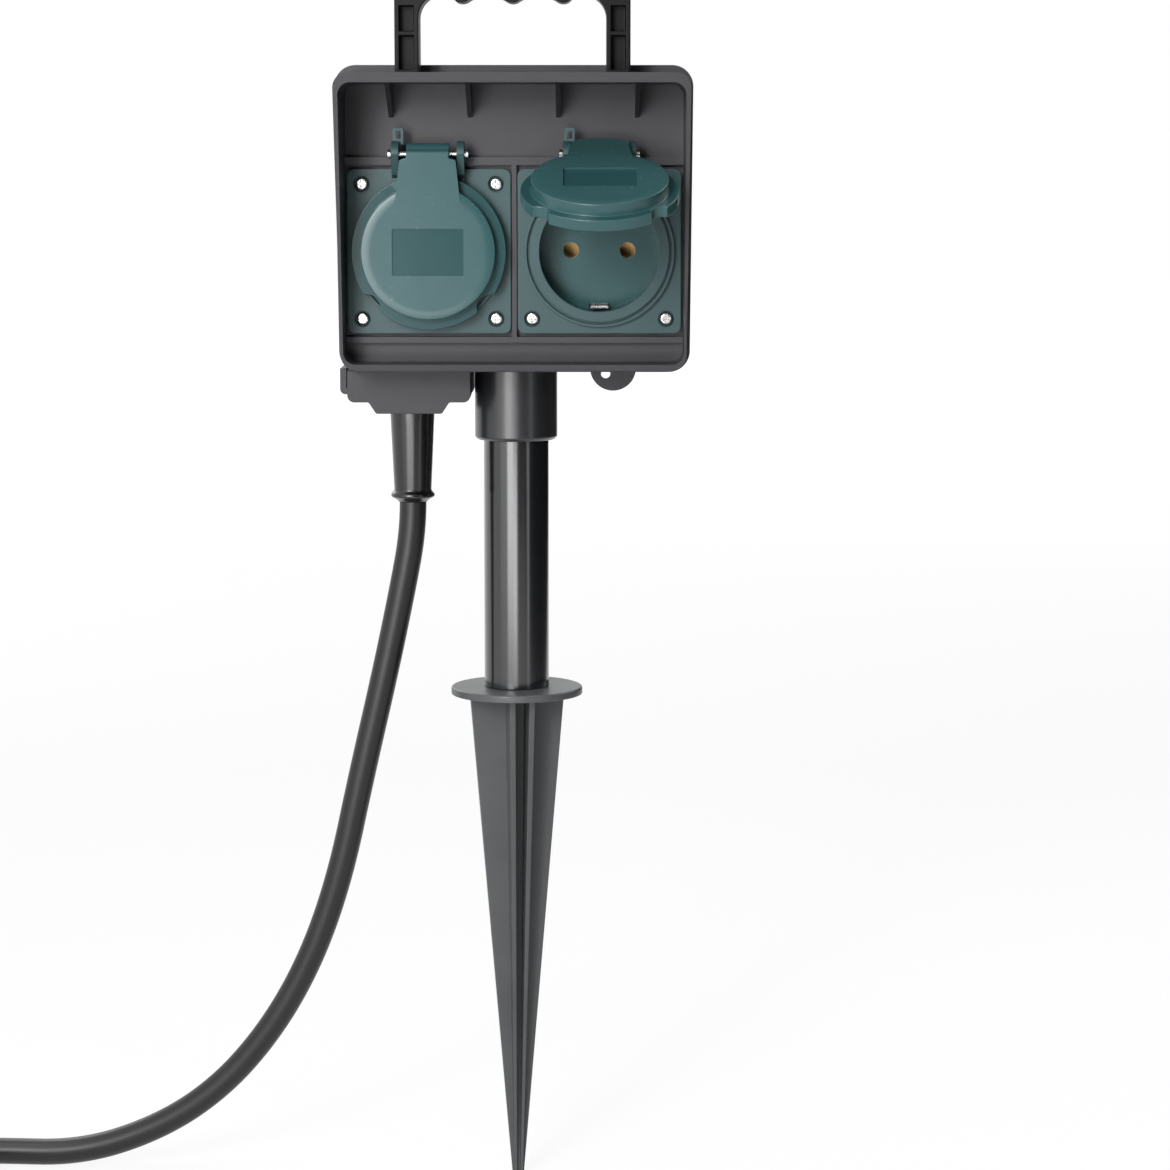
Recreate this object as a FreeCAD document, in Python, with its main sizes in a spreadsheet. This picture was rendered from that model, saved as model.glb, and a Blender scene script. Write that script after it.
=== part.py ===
import FreeCAD, Part
import math
import os
import Sketcher

# Garden socket spike: a two-way socket head with sprung lids on a pole and a ground spike.
# Millimetres. Origin at the middle of the ground disc's underside, Z up, the front faces -Y.
# A size whose name ends in front is a distance forward of the pole's axis, toward -Y.

V = FreeCAD.Vector
doc = FreeCAD.newDocument("GardenSocketSpike")
sheet = doc.addObject("Spreadsheet::Sheet", "Sizes")

DRIVING_SIZES = {
    # ground spike
    "disc_radius": 22.5,
    "disc_thick": 2.5,
    "spike_length": 171,
    "spike_half_width": 16.2,
    "spike_tip_half_width": 1.9,
    "blade_thick": 3.0,
    "blade_tip_thick": 1.4,
    "spike_rib_place": 3.35,
    "spike_rib_tip_place": 1.0,
    "spike_rib_thick": 2.0,
    "spike_rib_tip_thick": 0.9,
    "spike_rib_reach": 15.0,
    "spike_rib_tip_reach": 1.8,
    "spike_turn": 8.5,
    "stub_radius": 9.0,
    "stub_height": 45,
    # pole and its collar
    "pole_radius": 11.1,
    "pole_in_head": 4.2,
    "turning_fit": 0.05,
    "pole_end_gap": 0.1,
    "collar_radius": 14.0,
    "collar_length": 24.3,
    "collar_chamfer": 1.0,
    "collar_flange_radius": 16.4,
    "collar_flange_thick": 3.0,
    # housing
    "head_bottom": 111.8,
    "side_taper": 0.8,
    "head_corner": 7.0,
    "back_wall": 2.6,
    "head_back": 24.0,
    "back_round": 4.0,
    "lip_depth": 7.0,
    "lip_gap": 0.3,
    "frame_side_step": 1.5,
    "frame_top_step": 3.0,
    "frame_bottom_step": 1.2,
    "frame_corner": 5.0,
    "panel_front": 20.0,
    "panel_thick": 3.0,
    "rim_top_front": 54.0,
    "rim_bottom_front": 36.0,
    "bay_corner": 4.0,
    "rim_side_wall": 3.1,
    "rim_low_wall": 3.2,
    "rim_top_wall": 6.2,
    "bay_low_room": 6.4,
    "hood_room": 26.4,
    "bar_reach": 3.0,
    "shelf_thick": 2.6,
    "low_bar_thick": 2.0,
    "middle_bar_half": 0.8,
    "gusset_outer": 40.6,
    "gusset_inner": 14.6,
    "gusset_thick": 1.5,
    "gusset_drop": 11.1,
    "gusset_reach": 26.0,
    "step_width": 2.4,
    "seal_inset": 0.7,
    "seal_width": 1.0,
    "seal_depth": 1.6,
    "housing_screw_in": 8.5,
    "housing_screw_over": 8.2,
    "housing_screw_under": 9.6,
    "boss_radius": 4.0,
    "lug_across": 32.9,
    "lug_radius": 7.8,
    "lug_thick": 4.0,
    "lug_hole_across": 30.4,
    "lug_hole_up": 109.6,
    "lug_hole_radius": 1.6,
    # carry handle
    "grip_over": 19.4,
    "grip_height": 18.0,
    "handle_half": 38.1,
    "post_width": 7.8,
    "handle_front": 42.0,
    "handle_depth": 15.0,
    "handle_corner": 12.0,
    "finger_pitch": 16.4,
    "finger_round": 11.0,
    "finger_peak_half": 2.0,
    "finger_peak_rise": 0.62,
    "window_corner": 7.5,
    "window_rise": 2.7,
    "channel_lip": 1.6,
    "channel_depth": 4.0,
    "web_over": 8.9,
    "web_thick": 1.4,
    "peg_radius": 2.2,
    "peg_length": 2.5,
    "peg_fit": 0.1,
    # sockets
    "plate_corner": 2.3,
    "plate_thick": 2.2,
    "screw_head_radius": 2.15,
    "screw_head_gap": 0.5,
    "screw_head_sunk": 1.8,
    "screw_shank_radius": 1.35,
    "ring_reach": 2.0,
    "well_radius": 19.9,
    "well_wall": 3.3,
    "moat_width": 0.8,
    "collar_lip": 0.9,
    "plate_margin": 1.55,
    "plate_gap": 0.3,
    "plate_side_gap": 0.7,
    "plate_low_gap": 1.15,
    "plate_top_gap": 1.35,
    "plate_screw_in": 4.85,
    "well_depth": 17.5,
    "insert_wall": 2.0,
    "insert_fit": 0.1,
    "rim_thick": 1.0,
    "floor_thick": 3.0,
    "pin_hole_half": 9.5,
    "pin_hole_radius": 2.65,
    "clip_half_width": 3.0,
    "clip_in": 1.7,
    "clip_thick": 0.8,
    "clip_reach": 9.0,
    "clip_slot_gap": 0.4,
    "carrier_rim": 1.1,
    "carrier_length": 13.0,
    "contact_wall": 0.8,
    "contact_length": 12.0,
    "contact_fit": 0.2,
    "terminal_side": 7.0,
    "terminal_length": 5.0,
    "plate_gasket_thick": 0.8,
    # lids
    "hinge_front": 28.0,
    "hinge_over": 6.5,
    "pin_radius": 1.1,
    "pin_half": 13.2,
    "pin_head_radius": 1.5,
    "pin_head_thick": 0.9,
    "hinge_fit": 0.05,
    "ear_radius": 4.2,
    "ear_inner": 9.5,
    "ear_thick": 2.5,
    "loop_height": 4.3,
    "loop_width": 3.6,
    "loop_thick": 1.6,
    "lid_gap": 0.2,
    "lid_overhang": 0.6,
    "lid_disc_in": 3.4,
    "crown_in": 3.3,
    "skirt_height": 3.7,
    "lid_disc_height": 4.4,
    "crown_rise": 0.45,
    "lid_wall": 2.4,
    "arm_half": 7.0,
    "arm_shoulder_half": 9.2,
    "arm_shoulder_drop": 1.2,
    "arm_shoulder_end": 1.9,
    "arm_length": 23.6,
    "arm_low_half": 11.5,
    "arm_proud": 0.0,
    "arm_brow": 1.4,
    "barrel_radius": 3.6,
    "knuckle_gap_half": 3.6,
    "spring_room": 2.8,
    "label_half_width": 11.7,
    "label_half_height": 7.6,
    "label_depth": 0.6,
    "notch_angle": 48,
    "notch_radius": 4.2,
    "notch_out": 1.6,
    "lid_seal_in": 3.1,
    "lid_seal_width": 1.8,
    "lid_seal_thick": 1.2,
    "open_angle": 68,
    "spring_wire": 0.8,
    "spring_radius": 2.1,
    "spring_pitch": 1.3,
    # cable entry
    "entry_in": 2.9,
    "entry_right": 14.9,
    "entry_split_front": 5.0,
    "cover_front": 18.0,
    "entry_back": 12.0,
    "entry_wall": 2.2,
    "hatch_half_width": 12.0,
    "entry_step_drop": 10.6,
    "entry_step_height": 3.8,
    "entry_shoulder_rise": 2.4,
    "entry_step_in": 7.1,
    "entry_corner": 2.4,
    "entry_step_round": 1.1,
    "entry_low_in": 9.6,
    "entry_shoulder_in": 2.2,
    "back_half_out": 0.4,
    "back_half_right": 14.3,
    "back_half_over": 1.8,
    "back_half_corner": 1.8,
    "boot_across": 35.0,
    "boot_top_radius": 7.45,
    "boot_low_radius": 6.3,
    "boot_ring_radius": 7.4,
    "boot_lip_radius": 4.95,
    "boot_ring_up": 69.0,
    "boot_ring_half": 0.9,
    "boot_low": 66.7,
    "boot_flange_radius": 8.2,
    "boot_flange_thick": 2.6,
    "cord_radius": 4.55,
    "cord_fit": 0.05,
    "cord_core_over": 0.8,
    "clamp_half": 10.5,
    "clamp_over": 6.8,
    "clamp_height": 5.0,
    "clamp_front": 13.0,
    "clamp_gap": 0.4,
    "clamp_screw_half": 7.6,
    "cover_screw_under": 4.3,
    "cover_screw_in": 3.8,
    "cover_boss_radius": 2.6,
    # inner wiring
    "block_across": 33.0,
    "block_half_width": 10.0,
    "block_half_depth": 4.5,
    "block_height": 5.6,
    "block_pitch": 6.5,
    "lead_pitch": 2.3,
    "lead_over": 11.6,
    "lead_bend_rise": 14.0,
    "loop_over": 8.4,
    "lead_radius": 1.0,
    # cord, coil and plug
    "floor_up": -171,
    "coil_across": -236.0,
    "coil_depth": 10.0,
    "coil_radius": 52.3,
    "coil_pitch": 9.7,
    "tie_thick": 0.8,
    "tie_width": 14.0,
    "tie_gap": 0.3,
    "tie_side_gap": 0.9,
    "plug_radius": 19.0,
    "plug_front_length": 16.0,
    "plug_body_length": 22.0,
    "plug_neck_radius": 7.0,
    "plug_neck_length": 22.0,
    "plug_recess_radius": 16.6,
    "plug_recess_half": 4.0,
    "plug_strip_half": 3.0,
    "plug_strip_thick": 0.8,
    "plug_pin_radius": 2.4,
    "plug_pin_length": 19.0,
}

# What fits round the wells, between the plates and under the housing takes its size from them and a
# named clearance.
FITTED_SIZES = {
    "pole_top": "head_bottom + pole_in_head",
    "collar_bottom": "head_bottom - collar_length",
    "entry_step_up": "head_bottom - entry_step_drop",
    "entry_low": "entry_step_up - entry_step_height",
    "entry_shoulder_up": "entry_step_up + entry_shoulder_rise",
    "back_half_low": "entry_step_up + back_half_over",
    "clamp_low": "entry_low + clamp_over",
    "cover_screw_up": "head_bottom - cover_screw_under",
    "cord_core_up": "clamp_low + clamp_height + cord_core_over",
    "lead_level": "head_bottom + lead_over",
    "moat_inner": "well_radius + well_wall",
    "moat_outer": "moat_inner + moat_width",
    "collar_ring_radius": "moat_outer + collar_lip",
    "lid_radius": "collar_ring_radius + lid_overhang",
    "lid_disc_radius": "lid_radius - lid_disc_in",
    "crown_radius": "lid_disc_radius - crown_in",
    "notch_place": "lid_radius + notch_out",
    "lid_seal_outer": "lid_radius - lid_seal_in",
    "lid_seal_inner": "lid_seal_outer - lid_seal_width",
    "carrier_radius": "well_radius + carrier_rim",
    "clip_radius": "well_radius - clip_in",
    "plate_side": "(lid_radius + plate_margin) * 2",
    "screw_spacing": "plate_side - plate_screw_in * 2",
    "bay_low": "head_bottom + rim_low_wall",
    "low_bar_low": "bay_low + bay_low_room",
    "socket_up": "low_bar_low + low_bar_thick + plate_low_gap + plate_side / 2",
    "socket_across": "plate_side / 2 + middle_bar_half + plate_gap",
    "shelf_low": "socket_up + plate_side / 2 + plate_top_gap",
    "bay_high": "shelf_low + hood_room",
    "head_top": "bay_high + rim_top_wall",
    "bay_half_width": "socket_across + plate_side / 2 + plate_side_gap",
    "head_half_width": "bay_half_width + rim_side_wall",
    "head_half_width_low": "head_half_width - side_taper",
    "housing_screw_across": "head_half_width - housing_screw_in",
    "housing_screw_low": "head_bottom + housing_screw_over",
    "housing_screw_high": "head_top - housing_screw_under",
    "grip_low": "head_top + grip_over",
    "handle_top": "grip_low + grip_height",
    "web_height": "head_top + web_over",
    "hinge_up": "socket_up + lid_radius + hinge_over",
    "arm_shoulder_up": "hinge_up - arm_shoulder_drop",
    "arm_shoulder_low": "hinge_up - arm_shoulder_end",
    "arm_low": "hinge_up - arm_length",
    "entry_left": "head_half_width - entry_in",
    "back_half_left": "head_half_width + back_half_out",
    "loop_level": "socket_up + loop_over",
}

cells = list(DRIVING_SIZES.items()) + [(alias, f"={rule}") for alias, rule in FITTED_SIZES.items()]
for row, (alias, entry) in enumerate(cells, start=1):
    sheet.set(f"A{row}", alias)
    sheet.set(f"B{row}", str(entry))
    sheet.setAlias(f"B{row}", alias)
doc.recompute()


class Size:
    """A number together with the sheet expression that gives it."""

    def __init__(self, number, text):
        self.number = float(number)
        self.text = text

    @staticmethod
    def of(item):
        return item if isinstance(item, Size) else Size(item, f"({item})")

    def __add__(self, other):
        other = Size.of(other)
        return Size(self.number + other.number, f"({self.text} + {other.text})")

    def __sub__(self, other):
        other = Size.of(other)
        return Size(self.number - other.number, f"({self.text} - {other.text})")

    def __mul__(self, other):
        other = Size.of(other)
        return Size(self.number * other.number, f"({self.text} * {other.text})")

    def __truediv__(self, other):
        other = Size.of(other)
        return Size(self.number / other.number, f"({self.text} / {other.text})")

    def __neg__(self):
        return Size(-self.number, f"(-1 * {self.text})")

    def cos(self):
        return Size(math.cos(math.radians(self.number)), f"cos({self.text} * 1 deg)")

    def sin(self):
        return Size(math.sin(math.radians(self.number)), f"sin({self.text} * 1 deg)")

    __radd__ = __add__
    __rmul__ = __mul__

    def __rsub__(self, other):
        return Size.of(other) - self


def size(alias):
    """A driving size by its name in the sheet."""
    return Size(sheet.get(alias), f"Sizes.{alias}")


def mm(alias):
    """The plain number of a driving size."""
    return float(sheet.get(alias))


def bind(item, place, amount):
    """Ties one property of an object to the sheet."""
    amount = Size.of(amount)
    item.setExpression(place, amount.text)


def arc_centre(start, end, radius):
    """Centre of the short arc from start to end; a positive radius turns anticlockwise."""
    middle = (start + end) * 0.5
    chord = end - start
    rise = math.sqrt(max(radius * radius - (chord.Length / 2) ** 2, 0.0))
    side = V(-chord.y, chord.x, 0).normalize()
    return middle + side * (rise if radius > 0 else -rise)


def outline(sketch, corners):
    """A closed outline. Each corner is (across, up), or (across, up, radius) where an arc follows it."""
    spots = [V(Size.of(c[0]).number, Size.of(c[1]).number, 0) for c in corners]
    joints = []
    first = sketch.GeometryCount
    for i, corner in enumerate(corners):
        start, end = spots[i], spots[(i + 1) % len(corners)]
        radius = Size.of(corner[2]).number if len(corner) > 2 else 0
        if not radius:
            sketch.addGeometry(Part.LineSegment(start, end), False)
            joints.append((1, 2))
            continue
        centre = arc_centre(start, end, radius)
        circle = Part.Circle(centre, V(0, 0, 1), abs(radius))
        low, high = (start, end) if radius > 0 else (end, start)
        from_angle = math.atan2(low.y - centre.y, low.x - centre.x)
        to_angle = math.atan2(high.y - centre.y, high.x - centre.x)
        sketch.addGeometry(Part.ArcOfCircle(circle, from_angle, to_angle), False)
        joints.append((1, 2) if radius > 0 else (2, 1))
    for i in range(len(corners)):
        after = (i + 1) % len(corners)
        sketch.addConstraint(
            Sketcher.Constraint("Coincident", first + i, joints[i][1], first + after, joints[after][0])
        )
    for i, corner in enumerate(corners):
        for kind, amount in (("DistanceX", corner[0]), ("DistanceY", corner[1])):
            amount = Size.of(amount)
            place = Sketcher.Constraint(kind, -1, 1, first + i, joints[i][0], amount.number)
            number = sketch.addConstraint(place)
            bind(sketch, f"Constraints[{number}]", amount)
        if len(corner) > 2:
            radius = Size.of(corner[2])
            radius = radius if radius.number > 0 else -radius
            number = sketch.addConstraint(Sketcher.Constraint("Radius", first + i, radius.number))
            bind(sketch, f"Constraints[{number}]", radius)


def ring(sketch, across, up, radius):
    """A circle whose centre and radius follow the sheet."""
    across, up, radius = Size.of(across), Size.of(up), Size.of(radius)
    circle = Part.Circle(V(across.number, up.number, 0), V(0, 0, 1), radius.number)
    index = sketch.addGeometry(circle, False)
    for kind, amount in (("DistanceX", across), ("DistanceY", up)):
        number = sketch.addConstraint(Sketcher.Constraint(kind, -1, 1, index, 3, amount.number))
        bind(sketch, f"Constraints[{number}]", amount)
    number = sketch.addConstraint(Sketcher.Constraint("Radius", index, radius.number))
    bind(sketch, f"Constraints[{number}]", radius)


def rounded(left, right, low, high, corner):
    """The corners of a rectangle with round corners."""
    return [
        (left + corner, low), (right - corner, low, corner),
        (right, low + corner), (right, high - corner, corner),
        (right - corner, high), (left + corner, high, corner),
        (left, high - corner), (left, low + corner, corner),
    ]


def rectangle(left, right, low, high):
    return [(left, low), (right, low), (right, high), (left, high)]


def new_body(label, across=0, depth=0, up=0):
    """One sub-part, with its own place."""
    body = doc.addObject("PartDesign::Body", label)
    body.Label = label
    for axis, amount in (("x", across), ("y", depth), ("z", up)):
        bind(body, f"Placement.Base.{axis}", amount)
    return body


def sketch_on(body, role, start, outlines, rings):
    """A sketch on one of the body's own planes, moved along that plane's normal by start."""
    plane = next(item for item in body.Origin.OriginFeatures if item.Role == role)
    sketch = body.newObject("Sketcher::SketchObject", "Sketch")
    sketch.AttachmentSupport = [(plane, "")]
    sketch.MapMode = "FlatFace"
    bind(sketch, "AttachmentOffset.Base.z", start)
    for corners in outlines:
        outline(sketch, corners)
    for across, up, radius in rings:
        ring(sketch, across, up, radius)
    return sketch


def pad(body, role, start, length, outlines=(), rings=()):
    """Adds material along the plane's normal: forward on XZ, up on XY, to the right on YZ."""
    sketch = sketch_on(body, role, start, outlines, rings)
    feature = body.newObject("PartDesign::Pad", "Pad")
    feature.Profile = sketch
    bind(feature, "Length", length)
    doc.recompute()
    return feature


def pocket(body, role, start, depth, outlines=(), rings=()):
    """Cuts against the plane's normal: backward on XZ, down on XY, to the left on YZ."""
    sketch = sketch_on(body, role, start, outlines, rings)
    before = body.Shape.Volume
    feature = body.newObject("PartDesign::Pocket", "Pocket")
    feature.Profile = sketch
    bind(feature, "Length", depth)
    doc.recompute()
    if body.Shape.Volume >= before:
        raise RuntimeError(f"a pocket in {body.Label} cut nothing")
    return feature


def turn(body, role, corners, kind="PartDesign::Revolution"):
    """Revolves an outline of (radius, along) points about the sketch's upright axis."""
    sketch = sketch_on(body, role, 0, [corners], [])
    feature = body.newObject(kind, "Turned")
    feature.Profile = sketch
    feature.ReferenceAxis = (sketch, ["V_Axis"])
    feature.Angle = 360
    doc.recompute()
    return feature


def fillet(body, radius, chosen):
    """Rounds the edges of the body's last feature that the test picks."""
    base = body.Tip
    names = [f"Edge{i}" for i, edge in enumerate(base.Shape.Edges, start=1) if chosen(edge)]
    feature = body.newObject("PartDesign::Fillet", "Fillet")
    feature.Base = (base, names)
    bind(feature, "Radius", radius)
    doc.recompute()
    return feature


def shaped(label, shape, place=None):
    """A sub-part whose shape is made by formula from the sheet's sizes."""
    item = doc.addObject("Part::Feature", label)
    item.Label = label
    item.Shape = shape
    if place is not None:
        item.Placement = place
    return item


def rod(start, end, radius):
    """A plain cylinder between two points."""
    return Part.makeCylinder(radius, (end - start).Length, start, end - start)


def block(low, high):
    """A plain box between two corners."""
    return Part.makeBox(high.x - low.x, high.y - low.y, high.z - low.z, low)


def rounded_path(points, most=None):
    """Straight runs joined by tangent arcs, each 0.45 of the shorter run. Returns the wire and radii."""
    edges, radii = [], []
    last = points[0]
    for before, corner, after in zip(points, points[1:], points[2:]):
        come, go = corner - before, after - corner
        half_turn = come.getAngle(go) / 2
        back = 0.45 * min(come.Length, go.Length)
        radius = back / math.tan(half_turn)
        if most is not None and radius > most:
            radius = most
            back = radius * math.tan(half_turn)
        come, go = come.normalize(), go.normalize()
        enter, leave = corner - come * back, corner + go * back
        inward = (go - come).normalize()
        middle = corner + inward * (radius / math.cos(half_turn) - radius)
        edges.append(Part.LineSegment(last, enter).toShape())
        edges.append(Part.Arc(enter, middle, leave).toShape())
        radii.append(radius)
        last = leave
    edges.append(Part.LineSegment(last, points[-1]).toShape())
    return Part.Wire(edges), radii


def tube(path, radius):
    """A round tube along a path of lines and tangent arcs."""
    first = path.OrderedEdges[0]
    start = first.valueAt(first.FirstParameter)
    along = first.tangentAt(first.FirstParameter)
    if (path.OrderedVertexes[0].Point - start).Length > 1e-6:
        start = first.valueAt(first.LastParameter)
        along = first.tangentAt(first.LastParameter) * -1
    profile = Part.Wire([Part.Circle(start, along, radius).toShape()])
    return path.makePipeShell([profile], True, False)


def spike_section(half, thick, place, rib, reach):
    """A cross blade with two ribs on each face, as one outline."""
    t, w = thick / 2, rib / 2
    right = [(place - w, t), (place - w, reach), (place + w, reach), (place + w, t), (half, t)]
    upper = [(-x, y) for x, y in reversed(right)] + right
    lower = [(x, -y) for x, y in reversed(upper)]
    return upper + lower


def make_ground_spike():
    """Ground spike: a tapering ribbed blade, the ground disc and the stub that carries the pole."""
    body = new_body("ground_spike")
    body.Placement.Rotation.Axis = V(0, 0, 1)
    bind(body, "Placement.Rotation.Angle", size("spike_turn"))
    top = spike_section(
        size("spike_half_width"), size("blade_thick"), size("spike_rib_place"),
        size("spike_rib_thick"), size("spike_rib_reach"),
    )
    tip = spike_section(
        size("spike_tip_half_width"), size("blade_tip_thick"), size("spike_rib_tip_place"),
        size("spike_rib_tip_thick"), size("spike_rib_tip_reach"),
    )
    high = sketch_on(body, "XY_Plane", 0, [top], [])
    low = sketch_on(body, "XY_Plane", -size("spike_length"), [tip], [])
    blade = body.newObject("PartDesign::AdditiveLoft", "Blade")
    blade.Profile = high
    blade.Sections = [low]
    blade.Ruled = True
    doc.recompute()
    pad(body, "XY_Plane", 0, size("disc_thick"), rings=[(0, 0, size("disc_radius"))])
    fillet(body, size("disc_thick") * 0.3, lambda edge: edge.BoundBox.ZMin > mm("disc_thick") - 0.01)
    pad(body, "XY_Plane", size("disc_thick"), size("stub_height"), rings=[(0, 0, size("stub_radius"))])


def make_pole():
    """Round plastic pole, open at its foot for the spike's stub."""
    body = new_body("pole_tube")
    low = size("disc_thick") + size("pole_end_gap")
    inner = size("stub_radius") + size("turning_fit")
    turn(body, "XZ_Plane", [
        (inner, low), (size("pole_radius"), low),
        (size("pole_radius"), size("pole_top")), (inner, size("pole_top")),
    ])


def head_outline(side, low, high, corner):
    """The housing's outline, narrower at its foot, brought in by a step at the sides, foot and top."""
    top = size("head_half_width") - side
    foot = size("head_half_width_low") - side
    z0, z1 = size("head_bottom") + low, size("head_top") - high
    return [
        (corner - foot, z0), (foot - corner, z0, corner), (foot, z0 + corner), (top, z1 - corner, corner),
        (top - corner, z1), (corner - top, z1, corner), (-top, z1 - corner), (-foot, z0 + corner, corner),
    ]


def stepped_outline(inset):
    """The front frame's outline, brought in by an inset all round."""
    corner = size("frame_corner") - inset * 0.5
    return head_outline(
        size("frame_side_step") + inset, size("frame_bottom_step") + inset,
        size("frame_top_step") + inset, corner,
    )


def head_floor():
    """Height of the housing floor's upper face."""
    return size("head_bottom") + size("frame_bottom_step") + size("step_width")


def panel_back():
    """Distance forward of the panel's rear face, where frame and shell meet."""
    return size("panel_front") - size("panel_thick")


def make_pole_collar():
    """Collar under the head that grips the pole, with a flange inside the housing."""
    body = new_body("pole_collar")
    inner = size("pole_radius") + size("cord_fit")
    outer, lip = size("collar_radius"), size("collar_chamfer")
    flange, top = size("collar_flange_radius"), head_floor() + size("collar_flange_thick")
    turn(body, "XZ_Plane", [
        (inner, size("collar_bottom")), (outer - lip, size("collar_bottom")),
        (outer, size("collar_bottom") + lip), (outer, head_floor()),
        (flange, head_floor()), (flange, top), (inner, top),
    ])


def housing_screw_places():
    """The four housing screws, as (across, up)."""
    across = size("housing_screw_across")
    heights = (size("housing_screw_low"), size("housing_screw_high"))
    return [(side * across, up) for side in (-1, 1) for up in heights]


def make_rear_shell():
    """Rear shell: a deep tray whose lip goes round the front frame, with bosses, cable hole and lug."""
    body = new_body("rear_shell")
    back = -size("head_back")
    inside = back + size("back_wall")
    split = panel_back()
    lip = split + size("lip_depth")
    whole = head_outline(Size.of(0), Size.of(0), Size.of(0), size("head_corner"))
    pad(body, "XZ_Plane", back, lip - back, [whole])
    fillet(body, size("back_round"), lambda edge: edge.BoundBox.YMin > mm("head_back") - 0.01)
    pocket(body, "XZ_Plane", lip, size("lip_depth"), [stepped_outline(-size("lip_gap"))])
    pocket(body, "XZ_Plane", split, split - inside, [stepped_outline(size("step_width"))])
    groove = [stepped_outline(size("seal_inset")), stepped_outline(size("seal_inset") + size("seal_width"))]
    pocket(body, "XZ_Plane", split, size("seal_depth"), groove)
    bosses = [(x, z, size("boss_radius")) for x, z in housing_screw_places()]
    pad(body, "XZ_Plane", back + size("back_wall") / 2, split - back - size("back_wall") / 2, rings=bosses)
    shanks = [(x, z, size("screw_shank_radius") + size("cord_fit")) for x, z in housing_screw_places()]
    pocket(body, "XZ_Plane", split, split - back + 1, rings=shanks)
    heads = [(x, z, size("screw_head_radius") + size("screw_head_gap")) for x, z in housing_screw_places()]
    pocket(body, "XZ_Plane", back + size("screw_head_sunk"), size("screw_head_sunk") + 1, rings=heads)
    collar_hole = (0, 0, size("collar_radius") + size("cord_fit"))
    pocket(body, "XY_Plane", head_floor(), size("step_width") * 2, rings=[collar_hole])
    hatch = rectangle(
        -size("boot_across") - size("hatch_half_width"), size("hatch_half_width") - size("boot_across"),
        -size("cover_front") + size("entry_wall") * 2, size("entry_back") - size("entry_wall") * 2,
    )
    pocket(body, "XY_Plane", head_floor(), size("step_width") * 2, [hatch])
    across, reach, low = size("lug_across"), size("lug_radius"), size("head_bottom")
    pad(body, "XZ_Plane", -size("lug_thick") / 2, size("lug_thick"), [[
        (across - reach, low), (across + reach, low, -reach),
    ]])
    pocket(body, "XZ_Plane", size("lug_thick"), size("lug_thick") * 2,
           rings=[(size("lug_hole_across"), size("lug_hole_up"), size("lug_hole_radius"))])


def make_housing_seal():
    """Soft square-section seal in the groove between front frame and rear shell."""
    body = new_body("housing_seal")
    outer = stepped_outline(size("seal_inset"))
    inner = stepped_outline(size("seal_inset") + size("seal_width"))
    pad(body, "XZ_Plane", panel_back() - size("seal_depth"), size("seal_depth"), [outer, inner])


def make_front_frame():
    """Front frame: the panel with its bars, and the hood round it with four gussets under its roof."""
    body = new_body("front_frame")
    split = panel_back()
    front = size("rim_top_front")
    pad(body, "XZ_Plane", split, front - split, [stepped_outline(Size.of(0))])
    slant = [
        (-size("rim_bottom_front"), size("head_bottom")), (-front, size("head_top")),
        (-front * 1.5, size("head_top")), (-front * 1.5, size("head_bottom")),
    ]
    pocket(body, "YZ_Plane", size("head_half_width"), size("head_half_width") * 2, [slant])
    bay = rounded(
        -size("bay_half_width"), size("bay_half_width"), size("bay_low"), size("bay_high"), size("bay_corner")
    )
    pocket(body, "XZ_Plane", front, front - size("panel_front"), [bay])
    bay_side, panel = size("bay_half_width") + 0.5, size("panel_front") - 0.5
    reach = size("bar_reach") + 0.5
    shelf_low, shelf_high = size("shelf_low"), size("shelf_low") + size("shelf_thick")
    bar_low, bar_high = size("low_bar_low"), size("low_bar_low") + size("low_bar_thick")
    half = size("middle_bar_half")
    pad(body, "XZ_Plane", panel, reach, [rectangle(-bay_side, bay_side, shelf_low, shelf_high)])
    pad(body, "XZ_Plane", panel, reach, [rectangle(-bay_side, bay_side, bar_low, bar_high)])
    pad(body, "XZ_Plane", panel, reach, [rectangle(-half, half, bar_high - 0.2, shelf_low + 0.2)])
    roof = size("bay_high") + 0.5
    tip = size("bay_high") - size("gusset_drop")
    gusset = [(-panel, tip), (-panel, roof), (-panel - size("gusset_reach"), roof)]
    for place in (-size("gusset_outer"), -size("gusset_inner"), size("gusset_inner"), size("gusset_outer")):
        pad(body, "YZ_Plane", place - size("gusset_thick") / 2, size("gusset_thick"), [gusset])
    wells = [(side * size("socket_across"), size("socket_up"), insert_radius() + size("cord_fit") * 6)
             for side in (-1, 1)]
    pocket(body, "XZ_Plane", size("panel_front") + 1, size("panel_thick") + 2, rings=wells)
    holes = [(x, z, size("screw_shank_radius") + size("cord_fit"))
             for side in (-1, 1) for x, z in flange_screw_places(side * size("socket_across"), size("socket_up"))]
    pocket(body, "XZ_Plane", size("panel_front") + 1, size("panel_thick") + 2, rings=holes)
    housing_holes = [(x, z, size("screw_shank_radius") + size("cord_fit")) for x, z in housing_screw_places()]
    pocket(body, "XZ_Plane", split + size("panel_thick") * 0.7, size("panel_thick"), rings=housing_holes)
    peg_hole = [(side * (size("handle_half") - size("post_width") / 2),
                 size("handle_depth") / 2 - size("handle_front"), size("peg_radius") + size("peg_fit"))
                for side in (-1, 1)]
    top = size("head_top") - size("frame_top_step")
    pocket(body, "XY_Plane", top + 1, size("peg_length") + size("peg_fit") + 1, rings=peg_hole)


def insert_radius():
    """Outer radius of a socket's well insert."""
    return size("well_radius") + size("insert_wall")


def flange_screw_places(across, up):
    """The four screws of one socket flange, as (across, up)."""
    half = size("screw_spacing") / 2
    return [(across + a * half, up + b * half) for a in (-1, 1) for b in (-1, 1)]


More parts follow.
